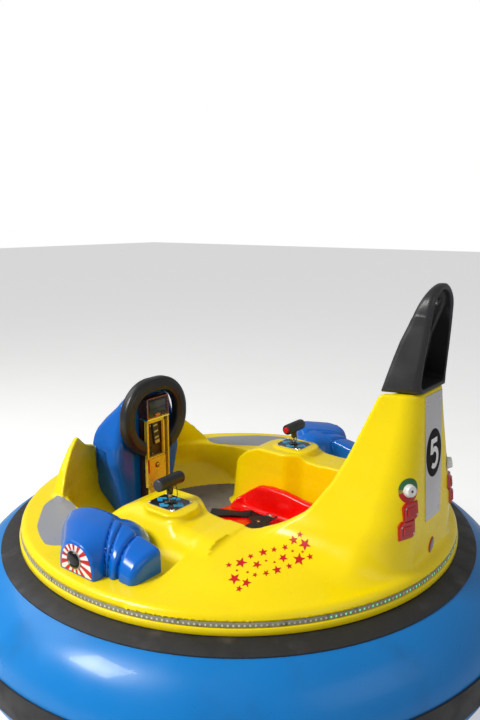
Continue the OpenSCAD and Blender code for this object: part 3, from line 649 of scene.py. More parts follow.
# Where the sides of the cowl start to close in towards the front, by height
COWL_CORNER = curve([(0.30, 0.482), (0.36, 0.482), (0.437, 0.490), (0.517, 0.500), (0.572, 0.507),
                     (0.636, 0.521), (0.655, 0.600), (1.0, 0.600)], 0.012)
# The cowl's narrow front: half its width, where it starts, the radius that the rest stays within
NOSE_HALF, NOSE_START, NOSE_R = 0.134, 0.548, 0.645


def cowl(x, y, z):
    side, radius = np.abs(y), np.hypot(x, y)
    full = COWL_HALF(z)
    half = np.maximum(full - 1.06 * np.maximum(x - COWL_CORNER(z), 0), np.minimum(full, NOSE_HALF))
    shape = round_max(outline(x, z, COWL_SIDE), 0.85 * (side - half), 0.034)
    pinch = np.maximum(side - NOSE_HALF, NOSE_START - x)
    shape = np.maximum(shape, np.minimum(pinch, radius - NOSE_R))
    beyond_tub = np.where(z > DECK + 0.001, -1.0, radius - room(z) + 0.006)
    shape = np.maximum(shape, beyond_tub)
    return np.maximum(np.maximum(shape, FLOOR + 0.0005 - z), COWL_REAR + 0.0005 - x)


nose = add_skin("cowl_shell", cowl, (PANEL_X + 0.030, -0.20, FLOOR - 0.006), (0.680, 0.20, COWL_TOP + 0.010),
                0.0065, blue, keep=above(FLOOR + 0.003))
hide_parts("cowl")


# Grab hoop
HOOP_TOP = COWL_TOP + 0.042
HOOP_HALF, HOOP_HALF_H = 0.147, 0.130
HOOP_CORNER = 0.124
# The hoop's section: half its width, half its depth and how far its middle is off the console
HOOP_TUBE, HOOP_HALF_D, HOOP_OUT = 0.029, 0.0255, 0.0195
# The opening for the console: half its width, and how far under the hoop's top it starts
GAP_HALF, GAP_DOWN = 0.0670, 0.205


def hoop(x, y, z):
    """A rounded square ring with grooves along it, open where the console stands."""
    mid = HOOP_TOP - HOOP_TUBE - HOOP_HALF_H
    ring = np.abs(rounded_box(y, z - mid, HOOP_HALF, HOOP_HALF_H, HOOP_CORNER))
    depth = np.abs(x - PANEL_X - HOOP_OUT)
    section = rounded_box(ring, depth, HOOP_TUBE, HOOP_HALF_D, 0.019)
    grooved = smooth_max(section, -(np.hypot(ring - 0.020, depth - 0.0275) - 0.006), 0.004)
    gap = np.maximum(np.abs(y) - GAP_HALF, z - HOOP_TOP + GAP_DOWN)
    return smooth_max(grooved, -gap, 0.008)


grab = add_skin("grab_hoop", hoop, (PANEL_X - 0.014, -0.184, HOOP_TOP - 0.326),
                (PANEL_X + 0.056, 0.184, HOOP_TOP + 0.008), 0.0045, hard_black)
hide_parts("hoop")


# Pods: the face with the mouth, the middle of the mouth, the middle of the ribbed pipe, the inner ends
POD_FACE = 0.742
POD_X = 0.024
POD_Y = 0.588
BARREL_INNER, RIBS_INNER = 0.530, 0.576
# The barrel's middle, half width and height, by the distance from the middle of the car
barrel_x = curve([(0.40, 0.095), (0.53, 0.098), (0.588, 0.098), (0.642, 0.078), (0.70, 0.0475),
                  (0.745, POD_X), (0.80, POD_X)], 0.02)
barrel_half = curve([(0.40, 0.140), (0.50, 0.150), (0.588, 0.172), (0.642, 0.1425), (0.70, 0.1025),
                     (0.745, 0.072), (0.80, 0.072)], 0.02)
barrel_top = curve([(0.40, 0.116), (0.58, 0.119), (0.65, 0.116), (0.70, 0.107), (0.745, 0.098),
                    (0.80, 0.098)], 0.03)
# Ribs of the pipe: front and rear end at the crest, the same at the outer foot, half width, height,
# fall per metre towards the rear, rounding of the ends
POD_RIBS = [(0.030, -0.006, -0.057, -0.067, 0.116, 0.1160, 0.06, 0.012),
            (-0.006, -0.062, -0.067, -0.093, 0.113, 0.1120, 0.28, 0.012),
            (-0.062, -0.162, -0.093, -0.158, 0.107, 0.0945, 0.22, 0.020)]
# How far the ribs' outer foot lies from their crest
RIB_FAN = 0.122
# The right pod of this car ends sooner towards the front and is lower than the left one, which
# stays inside its own two limits
RIGHT_FRONT, LEFT_FRONT = 0.125, 0.32
RIGHT_TOP, LEFT_TOP = 0.106, 0.5


def pod(x, y, z):
    """A barrel that opens outwards, a pipe of fanned ribs behind it and a dome where they meet."""
    side, up = np.abs(y), np.maximum(z - DECK, 0)
    shape = oval(x - barrel_x(side), up, barrel_half(side), barrel_top(side), 2.5)
    shape = round_max(round_max(shape, side - POD_FACE, 0.007), BARREL_INNER - side, 0.055)
    front_limit = np.where(y < 0, RIGHT_FRONT + 0.56 * (side - POD_Y), LEFT_FRONT)
    shape = round_max(shape, x - front_limit, 0.045)
    fan = np.maximum((side - POD_Y) / RIB_FAN, -0.15)
    barrel_rear = POD_RIBS[0][0] + (POD_RIBS[0][2] - POD_RIBS[0][0]) * fan
    shape = round_max(shape, barrel_rear - x, 0.012)
    for front, rear, front_foot, rear_foot, half, top, fall, rounding in POD_RIBS:
        start = front + (front_foot - front) * fan
        end = rear + (rear_foot - rear) * fan
        rib = oval(side - POD_Y, up, half, top + fall * (x - front), 2.4)
        rib = round_max(rib, np.maximum(x - start, end - x), rounding)
        rib = round_max(rib, RIBS_INNER - side, 0.012)
        shape = smooth_min(shape, rib, 0.003)
    dome = egg((x - 0.022) / 0.100, (side - POD_Y) / 0.116, up / 0.108)
    dome = round_max(0.11 * dome, side - 0.60, 0.01)
    shape = smooth_min(shape, dome, 0.004)
    top_limit = np.where(y < 0, RIGHT_TOP + 0.25 * (x - 0.03), LEFT_TOP)
    return round_max(shape, up - top_limit, 0.02)


for side_name, side in SIDES:
    low_y, high_y = sorted((side * 0.460, side * 0.756))
    piece = add_skin(f"pod_{side_name}_shell", pod, (-0.186, low_y, DECK - 0.006),
                     (0.292, high_y, DECK + 0.130), 0.0048, blue, keep=above(DECK + 0.0005))
    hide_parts(f"pod_{side_name}")


# Seat: middle, half length and half width of the block and of its hollow
BLOCK_X, BLOCK_HALF_L, BLOCK_HALF_W = -0.0768, 0.2547, 0.2495
HOLLOW_X, HOLLOW_HALF_L, HOLLOW_HALF_W = -0.06, 0.238, 0.208
seat_top = curve([(-0.36, 0.462), (-0.16, 0.470), (-0.06, 0.488), (0.01, 0.492), (0.066, 0.484),
                  (0.112, 0.454), (0.150, 0.424), (0.178, 0.408), (0.24, 0.380)], 0.04)
PAN_Z = 0.402


def seat(x, y, z):
    """A rounded block that falls to the front, with a hollow whose pan is highest in the middle."""
    side = np.abs(y)
    block = rounded_box(x - BLOCK_X, side, BLOCK_HALF_L, BLOCK_HALF_W, 0.052)
    block = round_max(block, z - seat_top(x), 0.020)
    pan = PAN_Z - 0.03 * (side / 0.2) ** 2
    hollow = rounded_box(x - HOLLOW_X, side, HOLLOW_HALF_L, HOLLOW_HALF_W, 0.060)
    hollow = round_max(hollow, pan - z, 0.03)
    return np.maximum(smooth_max(block, -hollow, 0.018), FLOOR + 0.0004 - z)


bucket = add_skin("seat_bucket", seat, (-0.345, -0.262, FLOOR - 0.006), (0.190, 0.262, 0.506), 0.0065,
                  red_shell, keep=above(FLOOR + 0.003))
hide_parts("seat_shell")


# Tube
TUBE_R = 0.218
TUBE_RING = 0.762
TUBE_Z = 0.248
SEAMS = 8


def tube_points(rings, steps):
    """An inflated ring, drawn in a little by its seams and by a weld round its outer side."""
    points = []
    for i, turn in enumerate(turns(rings)):
        seam = abs((SEAMS * i / rings + 0.32) % 1 - 0.5) * 2
        pull = 0.0016 * max(0, 1 - (1 - seam) * 40)
        for a in turns(steps):
            weld = 0.0008 * math.exp(-((math.sin(a) - 0.30) / 0.02) ** 2) if math.cos(a) > 0 else 0
            out, up = polar(TUBE_R - pull - weld, a)
            points.append((*polar(TUBE_RING + out, turn), TUBE_Z + up))
    return points


ring = add_faces("tube_skin", tube_points(288, 96), grid(288, 96, True, True), tube_vinyl)
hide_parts("tube")


# Building small pieces
class Shape:
    """Collects blocks, rounds and patches in some finishes, and turns them into one piece."""

    def __init__(self, *finishes):
        self.finishes = finishes
        self.points, self.faces, self.slots = [], [], []

    def add(self, points, faces, finish=None):
        start = len(self.points)
        self.points += [tuple(p) for p in points]
        self.faces += [tuple(start + i for i in f) for f in faces]
        self.slots += [self.finishes.index(finish or self.finishes[0])] * len(faces)

    def prism(self, flat, low, high, place, finish=None, bevel=0.0):
        """An outline pushed from low to high in a place's own Z, its upper edge cut off by a bevel."""
        n = len(flat)
        flat = np.array(flat)
        middle = flat.mean(axis=0)
        size = np.hypot(*(flat - middle).T).max()
        top = middle + (flat - middle) * (1 - bevel / size)
        rings = [(flat, low), (flat, high - bevel)] + ([(top, high)] if bevel else [])
        points = [place @ Vector((u, v, w)) for ring_points, w in rings for u, v in ring_points]
        last = (len(rings) - 1) * n
        ends = [tuple(range(last, last + n)), tuple(range(n - 1, -1, -1))]
        self.add(points, turned_over(grid(len(rings), n, False, True)) + ends, finish)

    def blocks(self, place, low, high, bevel, finish, rows):
        """Blocks of one depth: left, right, foot and head, and a corner radius where there is one."""
        for row in rows:
            self.prism(rect(*row), low, high, place, finish, bevel)

    def turned(self, profile, place, finish=None, steps=24):
        """A profile of radius and height turned about a place's Z."""
        n = len(profile)
        points, faces = lathe(profile, steps)
        ends = [tuple(i * n + n - 1 for i in range(steps)), tuple(i * n for i in range(steps - 1, -1, -1))]
        self.add([place @ Vector(p) for p in points], faces + ends, finish)

    def ribbon(self, path, width, place, height, finish=None):
        """A flat stroke of one width along a path in a place's X-Y plane."""
        path = [Vector(p) for p in path]
        left, right = [], []
        for i, p in enumerate(path):
            before = (p - path[i - 1]).normalized() if i else None
            after = (path[i + 1] - p).normalized() if i < len(path) - 1 else before
            before = before or after
            normal = (before + after).orthogonal().normalized()
            reach = 0.5 * width / max(normal.dot(before.orthogonal()), 0.35)
            left.append(p + normal * reach)
            right.append(p - normal * reach)
        points = [place @ Vector((*p, height)) for p in left + right]
        self.add(points, grid(2, len(path), False), finish)

    def piece(self, name, body="car", smooth=False):
        made = add_faces(name, self.points, self.faces, self.finishes, body, smooth)
        made.data.polygons.foreach_set("material_index", self.slots)
        if smooth:
            made.data.set_sharp_from_angle(angle=math.radians(35))
        return made


def on_body(points, lift):
    """Points moved onto the yellow moulding and then off it by a lift."""
    settled, normals = settle(body, np.array(points, float), 0.02, 6)
    return settled + normals * lift


def body_place(point, x_axis):
    """The place of the yellow moulding nearest to a point, its Z square to the surface."""
    settled, normals = settle(body, np.array([point], float), 0.02, 6)
    return place_at(settled[0], x_axis, normals[0])


# Films on the moulding
CAMERA = Vector((-1.459, 1.893, 1.55))
HEADING = (0.609, -0.793)
TILT = math.radians(11.8)
LOOK = Vector((HEADING[0] * math.cos(TILT), HEADING[1] * math.cos(TILT), -math.sin(TILT)))
CAMERA_TURN = LOOK.to_track_quat("-Z", "Y")
# Width, height and focal length of the photograph in pixels
PHOTO_W, PHOTO_H, FOCAL = 480, 720, 682


def seen_at(across, down):
    """The point of the yellow moulding seen at a pixel of the photograph."""
    ray = CAMERA_TURN @ Vector((across - PHOTO_W / 2, PHOTO_H / 2 - down, -FOCAL)).normalized()
    steps = np.arange(1.2, 3.6, 0.002)
    line = np.array(CAMERA) + steps[:, None] * np.array(ray)
    return line[np.argmax(body(*line.T) < 0)]


# Red stars by their radius in metres: the pixels across and down at which the photograph shows them
STARS = {
    0.0190: [(241.0, 563.1), (304.8, 544.4), (299.0, 559.8), (234.4, 578.8)],
    0.0145: [(293.5, 540.3), (283.1, 558.3), (263.1, 552.5), (256.9, 565.0), (276.9, 570.4), (246.3, 582.9)],
    0.0100: [(285.0, 547.5), (274.0, 549.8), (250.6, 556.6), (228.8, 565.3), (266.0, 573.5), (310.0, 557.1),
             (300.0, 534.6), (289.1, 566.3), (239.0, 588.8)],
    0.0050: [(292.5, 551.3), (302.5, 552.1), (274.4, 562.5), (266.0, 561.0), (247.5, 572.3), (236.9, 570.6)],
    0.0080: [(255.0, 575.0)],
}


def star_film(radius, spot, turn):
    """Middle and points of a star on the moulding, stretched a little towards the photograph's camera."""
    place = body_place(seen_at(*spot), (1, 0, 0))
    view = (CAMERA - place.translation).normalized()
    face_on = view.dot(place.col[2].to_3d())
    lean = Vector((view.dot(place.col[0].to_3d()), view.dot(place.col[1].to_3d()))).normalized()
    grow = min(1 / face_on, 1.3) - 1
    tips = [Vector(p) + lean * grow * lean.dot(Vector(p)) for p in star(radius, turn)]
    return on_body([place.translation] + [place @ tip.to_3d() for tip in tips], 0.0008)


star_spots = [(radius, spot) for radius, spots in STARS.items() for spot in spots]
stars = [star_film(radius, spot, 0.7 * number) for number, (radius, spot) in enumerate(star_spots)]
for side_name, side in SIDES:
    film = Shape(red_film)
    for points in stars:
        film.add(points * (1, side, 1), [(0, 1 + i, 1 + (i + 1) % 10) for i in range(10)])
    film.piece(f"stars_{side_name}")

GREY_PATCH = [(0.556, 0.440), (0.500, 0.400), (0.380, 0.440), (0.200, 0.560), (0.190, 0.690), (0.320, 0.670),
              (0.450, 0.560)]


def film_patch(corners, rings=5, per_edge=9):
    """Points and faces of a rounded film with these corners in plan, laid on the moulding."""
    middle = np.mean(corners, axis=0)
    border = []
    for i in range(len(corners)):
        a, b, c = (np.array(corners[(i + k) % len(corners)]) for k in (0, 1, 2))
        start, end = (a + b) / 2, (b + c) / 2
        pull = 0.75 * b + 0.125 * (a + c)
        for t in np.linspace(0, 1, per_edge, endpoint=False):
            border.append((1 - t) ** 2 * start + 2 * t * (1 - t) * pull + t * t * end)
    m = len(border)
    flat = [middle] + [middle + (p - middle) * k / rings for k in range(1, rings + 1) for p in border]
    points = on_body([(*p, DECK + 0.004) for p in flat], 0.0006)
    return points, [(0, 1 + i, 1 + (i + 1) % m) for i in range(m)] + grid(rings, m, False, True, 1)


patch_points, patch_faces = film_patch(GREY_PATCH)
for side_name, side in SIDES:
    film = Shape(grey_film)
    film.add(patch_points * (1, side, 1), patch_faces)
    film.piece(f"grey_patch_{side_name}", smooth=True)

# Roundel with its number on the silver panel, given by the panel's middle and the way it faces
PANEL_MIDDLE = (-0.73444, 0.0, 0.90984)
PANEL_FACING = (-0.998777, 0.0, 0.049444)
FIVE_TOP, FIVE_HALF = 0.043, 0.023
roundel_place = moved(place_at(PANEL_MIDDLE, (0, -1, 0), PANEL_FACING), 0, -0.048)
bowl = [(0.002 + 0.0235 * math.cos(math.radians(a)), -0.016 + 0.0265 * math.sin(math.radians(a)))
        for a in range(128, -140, -12)]
five = [(FIVE_HALF, FIVE_TOP - 0.006), (-0.016, FIVE_TOP - 0.006), (-0.0195, 0.006)] + bowl
roundel = Shape(matt_black, white_film)
roundel.prism(circle(0.056, 48, 0.074), 0.0, 0.0006, roundel_place)
roundel.ribbon(five, 0.0160, roundel_place, 0.0010, white_film)
roundel.piece("number_roundel")

# Screws of the silver panel
screws = Shape(chrome)
for v in (-0.185, 0.160):
    for u in (-0.043, 0.043):
        screws.turned([(0.0045, 0.0), (0.0045, 0.0008), (0.003, 0.0016), (0.0, 0.0018)],
                      moved(roundel_place, u, v), chrome, 16)
screws.piece("number_panel_screws", smooth=True)


# Rear lamps: height above the deck, distance from the middle, half width, half height
SQUARE_LAMPS = [(0.194, 0.148, 0.027, 0.024), (0.143, 0.167, 0.028, 0.025)]
DISC_RINGS = (0.016, 0.026, 0.036)
KNOB = [(0.0195, -0.004), (0.0195, 0.003), (0.0178, 0.004), (0.0170, 0.013), (0.0148, 0.0158),
        (0.0092, 0.0165), (0.0072, 0.0150), (0.0, 0.0148)]


def square_lamp(lamps, place, half_w, half_h):
    """A red ribbed lens in a stepped frame with two cut corners and two screws."""
    notch = 0.010
    edge = [(-half_w, -half_h), (half_w - notch, -half_h), (half_w, -half_h + notch), (half_w, half_h),
            (-half_w + notch, half_h), (-half_w, half_h - notch)]
    lamps.prism([(u * 1.09, v * 1.09) for u, v in edge], -0.004, 0.0026, place, red_lens, 0.0010)
    lamps.prism(edge, -0.004, 0.0060, place, red_lens, 0.0015)
    lens = moved(place, 0, 0.001, 0.0055)
    lens_edge = rect(-half_w * 0.62, half_w * 0.62, -half_h * 0.55, half_h * 0.62, 0.004)
    lamps.prism(lens_edge, 0.0, 0.0045, lens, red_lens, 0.002)
    for rib in range(4):
        v = -half_h * 0.4 + rib * half_h * 0.26
        lamps.prism(rect(-half_w * 0.52, half_w * 0.52, v, v + 0.0022), 0.004, 0.0053, lens, red_lens)
    for u, v in ((half_w - 0.006, -half_h + 0.012), (-half_w + 0.006, half_h - 0.012)):
        lamps.turned([(0.0028, 0.0), (0.0028, 0.0012), (0.0, 0.0016)], moved(place, u, v, 0.0052), chrome, 12)


def knob_lamp(lamps, place, disc):
    """A white knob on a disc that is green on one half and red on the other."""
    for corners in turned_over(grid(len(DISC_RINGS), 36, False, True)):
        angle = corners[0] % 36 * 10 + 5
        finish = brass if angle in (5, 355) else (green_film if angle > 180 else red_lens)
        lamps.add(disc[list(corners)], [(0, 1, 2, 3)], finish)
    lamps.turned(KNOB, place, white_knob, 32)
    lamps.turned([(0.0036, 0.0130), (0.0036, 0.0154), (0.0, 0.0156)], place, black_film, 16)


for side_name, side in SIDES:
    lamps = Shape(red_lens, chrome, green_film, brass, white_knob, black_film)
    for height, out, half_w, half_h in SQUARE_LAMPS:
        place = body_place((-0.735, out, DECK + height), (0.35, 1, 0))
        square_lamp(lamps, on_side(place, side), half_w, half_h)
    place = body_place((-0.725, 0.144, DECK + 0.253), (0.6, 1, 0))
    disc = on_body([place @ Vector((*polar(r, a), 0)) for r in DISC_RINGS for a in turns(36)], 0.0009)
    knob_lamp(lamps, on_side(place, side), disc * (1, side, 1))
    lamps.piece(f"rear_lamps_{side_name}", smooth=True)

low_place = spun(place_at((-0.7443, 0, DECK + 0.034), (0, -1, 0), (-1, 0, 0)), -28)
reflector = Shape(red_lens, grey_film)
# The red lens finish glows faintly; on this reflector, which is no lamp, that glow is painted light.
reflector.prism(circle(0.0130, 32, 0.0255), -0.001, 0.0035, low_place, red_lens, 0.0012)
reflector.prism(circle(0.0095, 32, 0.0215), 0.0035, 0.0052, low_place, grey_film, 0.0012)
mark = reflector.piece("rear_reflector", smooth=True)
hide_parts("tail_lights")


# Levers: profiles of radius and height over the plate, or along the grip
PLATE_Z = DECK + ARM_H
COLLAR = [(0.019, 0.0002), (0.019, 0.0022), (0.0165, 0.0040), (0.0145, 0.0060), (0.0105, 0.0062),
          (0.0085, 0.0040), (0.0060, 0.0036)]
BRASS_RING = [(0.0060, 0.018), (0.0068, 0.0192), (0.0068, 0.0230), (0.0060, 0.0242)]
NECK = [(0.0070, 0.0275), (0.0100, 0.0290), (0.0112, 0.0400), (0.0130, 0.0570), (0.0150, 0.0660)]
GRIP = both_ways([(0.0, -0.056), (0.0150, -0.056), (0.0185, -0.0545), (0.0207, -0.0505), (0.0210, -0.046)])
GRIP_UP = 0.0755
GRIP_CAP = [(0.0198, 0.0520), (0.0198, 0.0558), (0.0180, 0.0575), (0.0, 0.0578)]
BUTTON = [(0.0125, 0.0550), (0.0125, 0.0575), (0.0105, 0.0580), (0.0105, 0.0608), (0.0085, 0.0630),
          (0.0, 0.0636)]
# The switch cord's points from the grip to the plate, outwards in y
SWITCH_CORD = [(-0.016, 0.010, 0.066), (-0.021, 0.012, 0.048), (-0.021, 0.013, 0.028), (-0.014, 0.012, 0.010),
               (-0.008, 0.010, 0.004)]
CORD_R = 0.0013


def chevron(direction, tip, arm):
    """A V whose point lies at a distance from the stem, its arms falling back."""
    along, across = direction, (-direction[1], direction[0])
    share = 1.2 if direction[0] else 0.75
    return [(along[0] * (tip - back) + across[0] * sideways, along[1] * (tip - back) + across[1] * sideways)
            for sideways, back in ((arm, arm * share), (0, 0), (-arm, arm * share))]


def lever_plate(place):
    """A black plate with a bright edge, two chevrons each way and a screw in each corner."""
    plate = Shape(chrome, black_film, cyan_film, white_knob)
    edge = squared(0.0610, 0.0485)
    plate.prism(edge, 0.0004, 0.0026, place, chrome, 0.0008)
    plate.prism([(u * 0.965, v * 0.955) for u, v in edge], 0.0026, 0.0030, place, black_film)
    for direction, tips in (((1, 0), (0.054, 0.042)), ((-1, 0), (0.054, 0.042)), ((0, 1), (0.0415, 0.031)),
                            ((0, -1), (0.0415, 0.031))):
        for k, tip in enumerate(tips):
            plate.ribbon(chevron(direction, tip, 0.0175 - 0.004 * k), 0.0085, place, 0.0033, cyan_film)
    for u in (-0.054, 0.054):
        for v in (-0.041, 0.041):
            plate.turned([(0.0042, 0.0030), (0.0042, 0.0042), (0.0028, 0.0052), (0.0, 0.0054)],
                         moved(place, u, v), white_knob, 16)
    return plate


def t_lever(place, side):
    """A stem with a ribbed grip across it, a grey cap on its outer end and a red button on its inner end."""
    lever = Shape(hard_black, black_film, chrome, brass, cap_grey, red_film)
    stem = moved(place, 0, 0, 0.003)
    lever.turned(COLLAR, stem, black_film, 32)
    lever.turned([(0.0045, 0.002), (0.0045, 0.030)], stem, chrome, 20)
    lever.turned(BRASS_RING, stem, brass, 12)
    lever.turned(NECK, stem, black_film, 28)
    middle = spun(moved(place, 0, 0, GRIP_UP), -90, "X")
    lever.turned(GRIP, middle, hard_black, 40)
    for k in range(9):
        rib_at = moved(spun(middle, 40 * k), 0.0207, 0)
        lever.prism(rect(-0.0006, 0.0005, -0.0022, 0.0022), -0.040, 0.040, rib_at)
    outer, inner = (0, 180) if side > 0 else (180, 0)
    lever.turned(GRIP_CAP, spun(middle, outer, "X"), cap_grey, 32)
    lever.turned(BUTTON, spun(middle, inner, "X"), red_film, 28)
    return lever


def switch_cord(place, side):
    """The cord beside the stem, straight from point to point."""
    cord = Shape(hard_black)
    route = [place @ Vector((x, -side * y, z)) for x, y, z in SWITCH_CORD]
    for a, b in zip(route, route[1:]):
        cord.turned([(CORD_R, 0.0), (CORD_R, (b - a).length)], place_at(a, (1, 0.3, 0), b - a), hard_black, 8)
    return cord


for side_name, side in SIDES:
    foot = place_at((0, side * STICK_Y, PLATE_Z), (1, 0, 0), (0, 0, 1))
    piece = lever_plate(foot).piece(f"lever_plate_{side_name}_dressed", smooth=True)
    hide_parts(f"lever_plate_{side_name}")
    piece = t_lever(foot, side).piece(f"lever_{side_name}_dressed", smooth=True)
    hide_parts(f"lever_{side_name}")
    switch_cord(foot, side).piece(f"lever_cord_{side_name}", smooth=True)


# Pod mouths: the lens's middle and radius, the half width and the height of the mouth
LENS_X, LENS_UP, LENS_R = 0.032, 0.046, 0.0275
MOUTH_HALF, MOUTH_TOP = 0.0665, 0.0925
RAYS, STEPS_A_RAY = 26, 4
LENS_FRAME = [(0.0296, 0.0), (0.0296, 0.0028), (0.0288, 0.0040), (LENS_R, 0.0042)]
LENS = [(LENS_R, 0.0010), (LENS_R, 0.0042), (0.0262, 0.0064), (0.0225, 0.0086), (0.0170, 0.0104),
        (0.0100, 0.0113), (0.0040, 0.0116), (0.0, 0.0117)]


def mouth_reach(angle):
    """How far the mouth goes from the lens in a direction, up to its oval edge or its straight foot."""
    reach = 0.020
    while reach < 0.12:
        u, v = polar(reach, angle)
        edge = oval(LENS_X + u - POD_X, max(LENS_UP + v, 0.0), MOUTH_HALF, MOUTH_TOP, 2.5)
        if edge > 0 or LENS_UP + v < 0.005:
            break
        reach += 0.0005
    return reach


rays_inner = [polar(0.024, a) for a in turns(RAYS * STEPS_A_RAY)]
rays_outer = [polar(mouth_reach(a), a) for a in turns(RAYS * STEPS_A_RAY)]
for side_name, side in SIDES:
    mouth = place_at((LENS_X, side * (POD_FACE + 0.0002), DECK + LENS_UP), (1, 0, 0), (0, side, 0))
    rays = Shape(red_film, white_film)
    for i in range(RAYS * STEPS_A_RAY):
        n = (i + 1) % (RAYS * STEPS_A_RAY)
        quad = [rays_inner[i], rays_outer[i], rays_outer[n], rays_inner[n]]
        rays.add([mouth @ Vector((u, -side * v, 0.0004)) for u, v in quad], [(0, 1, 2, 3)],
                 rays.finishes[i // STEPS_A_RAY % 2])
    rays.piece(f"mouth_rays_{side_name}")
    lens = Shape(dark_glass, zinc)
    lens.turned(LENS_FRAME, mouth, zinc, 48)
    lens.turned(LENS, mouth, dark_glass, 48)
    # The small zinc disc low and towards the front of the dark dome is a painted highlight: it stands for a
    # glint on the lens, not for a part.
    lens.turned([(0.0050, 0.0060), (0.0050, 0.0112), (0.0, 0.0114)], moved(mouth, 0.008, 0.006), zinc, 16)
    piece = lens.piece(f"mouth_lens_{side_name}", smooth=True)
    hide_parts(f"pod_lamp_{side_name}")


# Console: blocks on the rear face of the cowl, each by its sides, foot and head
FOOT, SILL, HEAD = FLOOR + 0.0006, 0.760, 0.850
BOX_HALF = 0.0625
BOX_REAR = -0.0452
front = place_at((PANEL_X, 0, 0), (0, -1, 0), (-1, 0, 0))
box = Shape(gold_panel, console_dark, brass, red_film, zinc, black_film, cap_grey)
box.blocks(front, BOX_REAR, -0.014, 0.001, console_dark, [(-BOX_HALF, BOX_HALF, FOOT, SILL)])
# gold frame: left rail, head rail, rail beside the window, outer strip, sill of the window
box.blocks(front, -0.020, 0.0, 0.0012, gold_panel, [
    (-BOX_HALF, -0.0530, 0.478, SILL), (-0.0530, 0.0345, 0.7460, SILL), (0.0290, 0.0375, 0.604, 0.746),
    (0.0545, BOX_HALF, FOOT, SILL), (-0.0530, 0.0375, 0.5985, 0.6045)])
# coin door, kick plate, brass edge of the window, red label, dark block low in the window
box.blocks(front, -0.016, -0.0015, 0.0012, gold_panel, [(-0.0525, 0.0420, 0.4790, 0.5965, 0.003)])
box.blocks(front, -0.016, -0.0022, 0.0012, gold_panel, [(-0.0525, 0.0420, FOOT + 0.002, 0.4760, 0.003)])
box.blocks(front, -0.016, -0.004, 0.0008, brass, [(0.0240, 0.0288, 0.606, 0.745)])
box.blocks(front, -0.002, 0.0016, 0.0008, red_film, [(-0.0620, -0.0545, 0.540, 0.597)])
box.blocks(front, -0.014, -0.009, 0.001, console_dark, [(-0.048, -0.022, 0.612, 0.640, 0.004)])
# coin mechanism, leaning in its window
coins = spun(moved(front, -0.004, 0.694, -0.0135), 8)
box.blocks(coins, 0.0, 0.006, 0.001, cap_grey, [(-0.014, 0.014, -0.044, 0.052, 0.003)])
box.blocks(coins, 0.006, 0.0082, 0.0006, zinc, [(-0.012, 0.012, -0.040, -0.026, 0.002)])
for k in range(5):
    v = -0.018 + 0.013 * k
    box.blocks(coins, 0.006, 0.0072, 0.0, console_dark if k % 2 else zinc, [(-0.011, 0.011, v, v + 0.006)])
for u, v, r in ((-0.044, 0.737, 0.0030), (-0.034, 0.618, 0.0026), (0.030, 0.752, 0.0028),
                (-0.0578, 0.752, 0.0026), (-0.044, 0.492, 0.0036), (0.0585, 0.700, 0.0026),
                (0.0585, 0.560, 0.0026), (0.0335, 0.612, 0.0024)):
    box.turned([(r, -0.010), (r, 0.0006), (r * 0.6, 0.0014), (0.0, 0.0015)], moved(front, u, v), zinc, 14)
lock = moved(front, -0.007, 0.564, -0.0015)
box.turned([(0.0115, 0.0), (0.0115, 0.0016), (0.0085, 0.0022)], lock, black_film, 32)
box.turned([(0.0085, 0.0), (0.0085, 0.0030), (0.0068, 0.0038), (0.0, 0.0038)], lock, brass, 28)
box.blocks(spun(lock, 28.65), 0.0030, 0.0041, 0.0, black_film, [(-0.0012, 0.0012, -0.0045, 0.0045)])
piece = box.piece("console_box", smooth=True)
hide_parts("console_panel")

# Screen box: case, copper edging, frame, window with four dashes, oval, bright strip under it
EDGE = 0.0615
screen = Shape(screen_brown, copper, black_film, screen_glass, chrome)
screen.blocks(front, BOX_REAR, 0.0030, 0.0015, screen_brown,
              [(-BOX_HALF, 0.0575, SILL + 0.0060, HEAD, 0.004)])
screen.blocks(front, 0.002, 0.0050, 0.0006, copper, [
    (-EDGE, -0.0590, 0.768, 0.849), (0.0540, 0.0565, 0.768, 0.849), (-EDGE, 0.0565, 0.8465, 0.849),
    (-EDGE, 0.0565, 0.768, 0.7705)])
screen.blocks(front, 0.002, 0.0045, 0.0010, black_film, [(-0.0515, 0.0440, 0.7790, 0.8400, 0.003)])
screen.blocks(front, 0.0045, 0.0050, 0.0, screen_glass, [(-0.0460, 0.0385, 0.7870, 0.8350, 0.002)])
screen.blocks(front, 0.0050, 0.0052, 0.0, black_film,
              [(0.019 * k - 0.036, 0.019 * k - 0.024, 0.803, 0.806) for k in range(4)])
screen.prism(circle(0.015, 28, 0.0062), 0.003, 0.0060, moved(front, -0.004, 0.7775), copper, 0.0015)
screen.blocks(front, -0.040, 0.0060, 0.0008, chrome, [(-BOX_HALF, 0.0600, SILL + 0.0003, SILL + 0.0063)])
piece = screen.piece("screen_box", smooth=True)
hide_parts("console_screen")


# Light strip: a cover in the rim's groove with a row of small lights, some of the rear ones lit green
STRIP_Z = 0.5
LIGHTS = 330
LIT_FROM = math.radians(182)
strip_side = both_ways([(0.7722, -0.0079), (0.7780, -0.0079), (0.7793, -0.0064), (0.7797, -0.0032),
                        (0.7798, 0.0)])
strip = Shape(strip_cover, led_green, led_white)
strip.add(*lathe([(r, STRIP_Z + h) for r, h in strip_side], 240, True))
for i, a in enumerate(turns(LIGHTS)):
    place = place_at((*polar(0.7796, a), STRIP_Z), (*polar(1, a + math.pi / 2), 0), (*polar(1, a), 0))
    lit = math.cos(a - LIT_FROM) > 0.80 and i % 3 != 1
    strip.prism(rect(-0.0027, 0.0027, -0.0030, 0.0030, 0.001, 2), -0.0005, 0.0004, place,
                led_green if lit else led_white)
piece = strip.piece("light_strip_dressed", smooth=True)
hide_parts("light_strip")


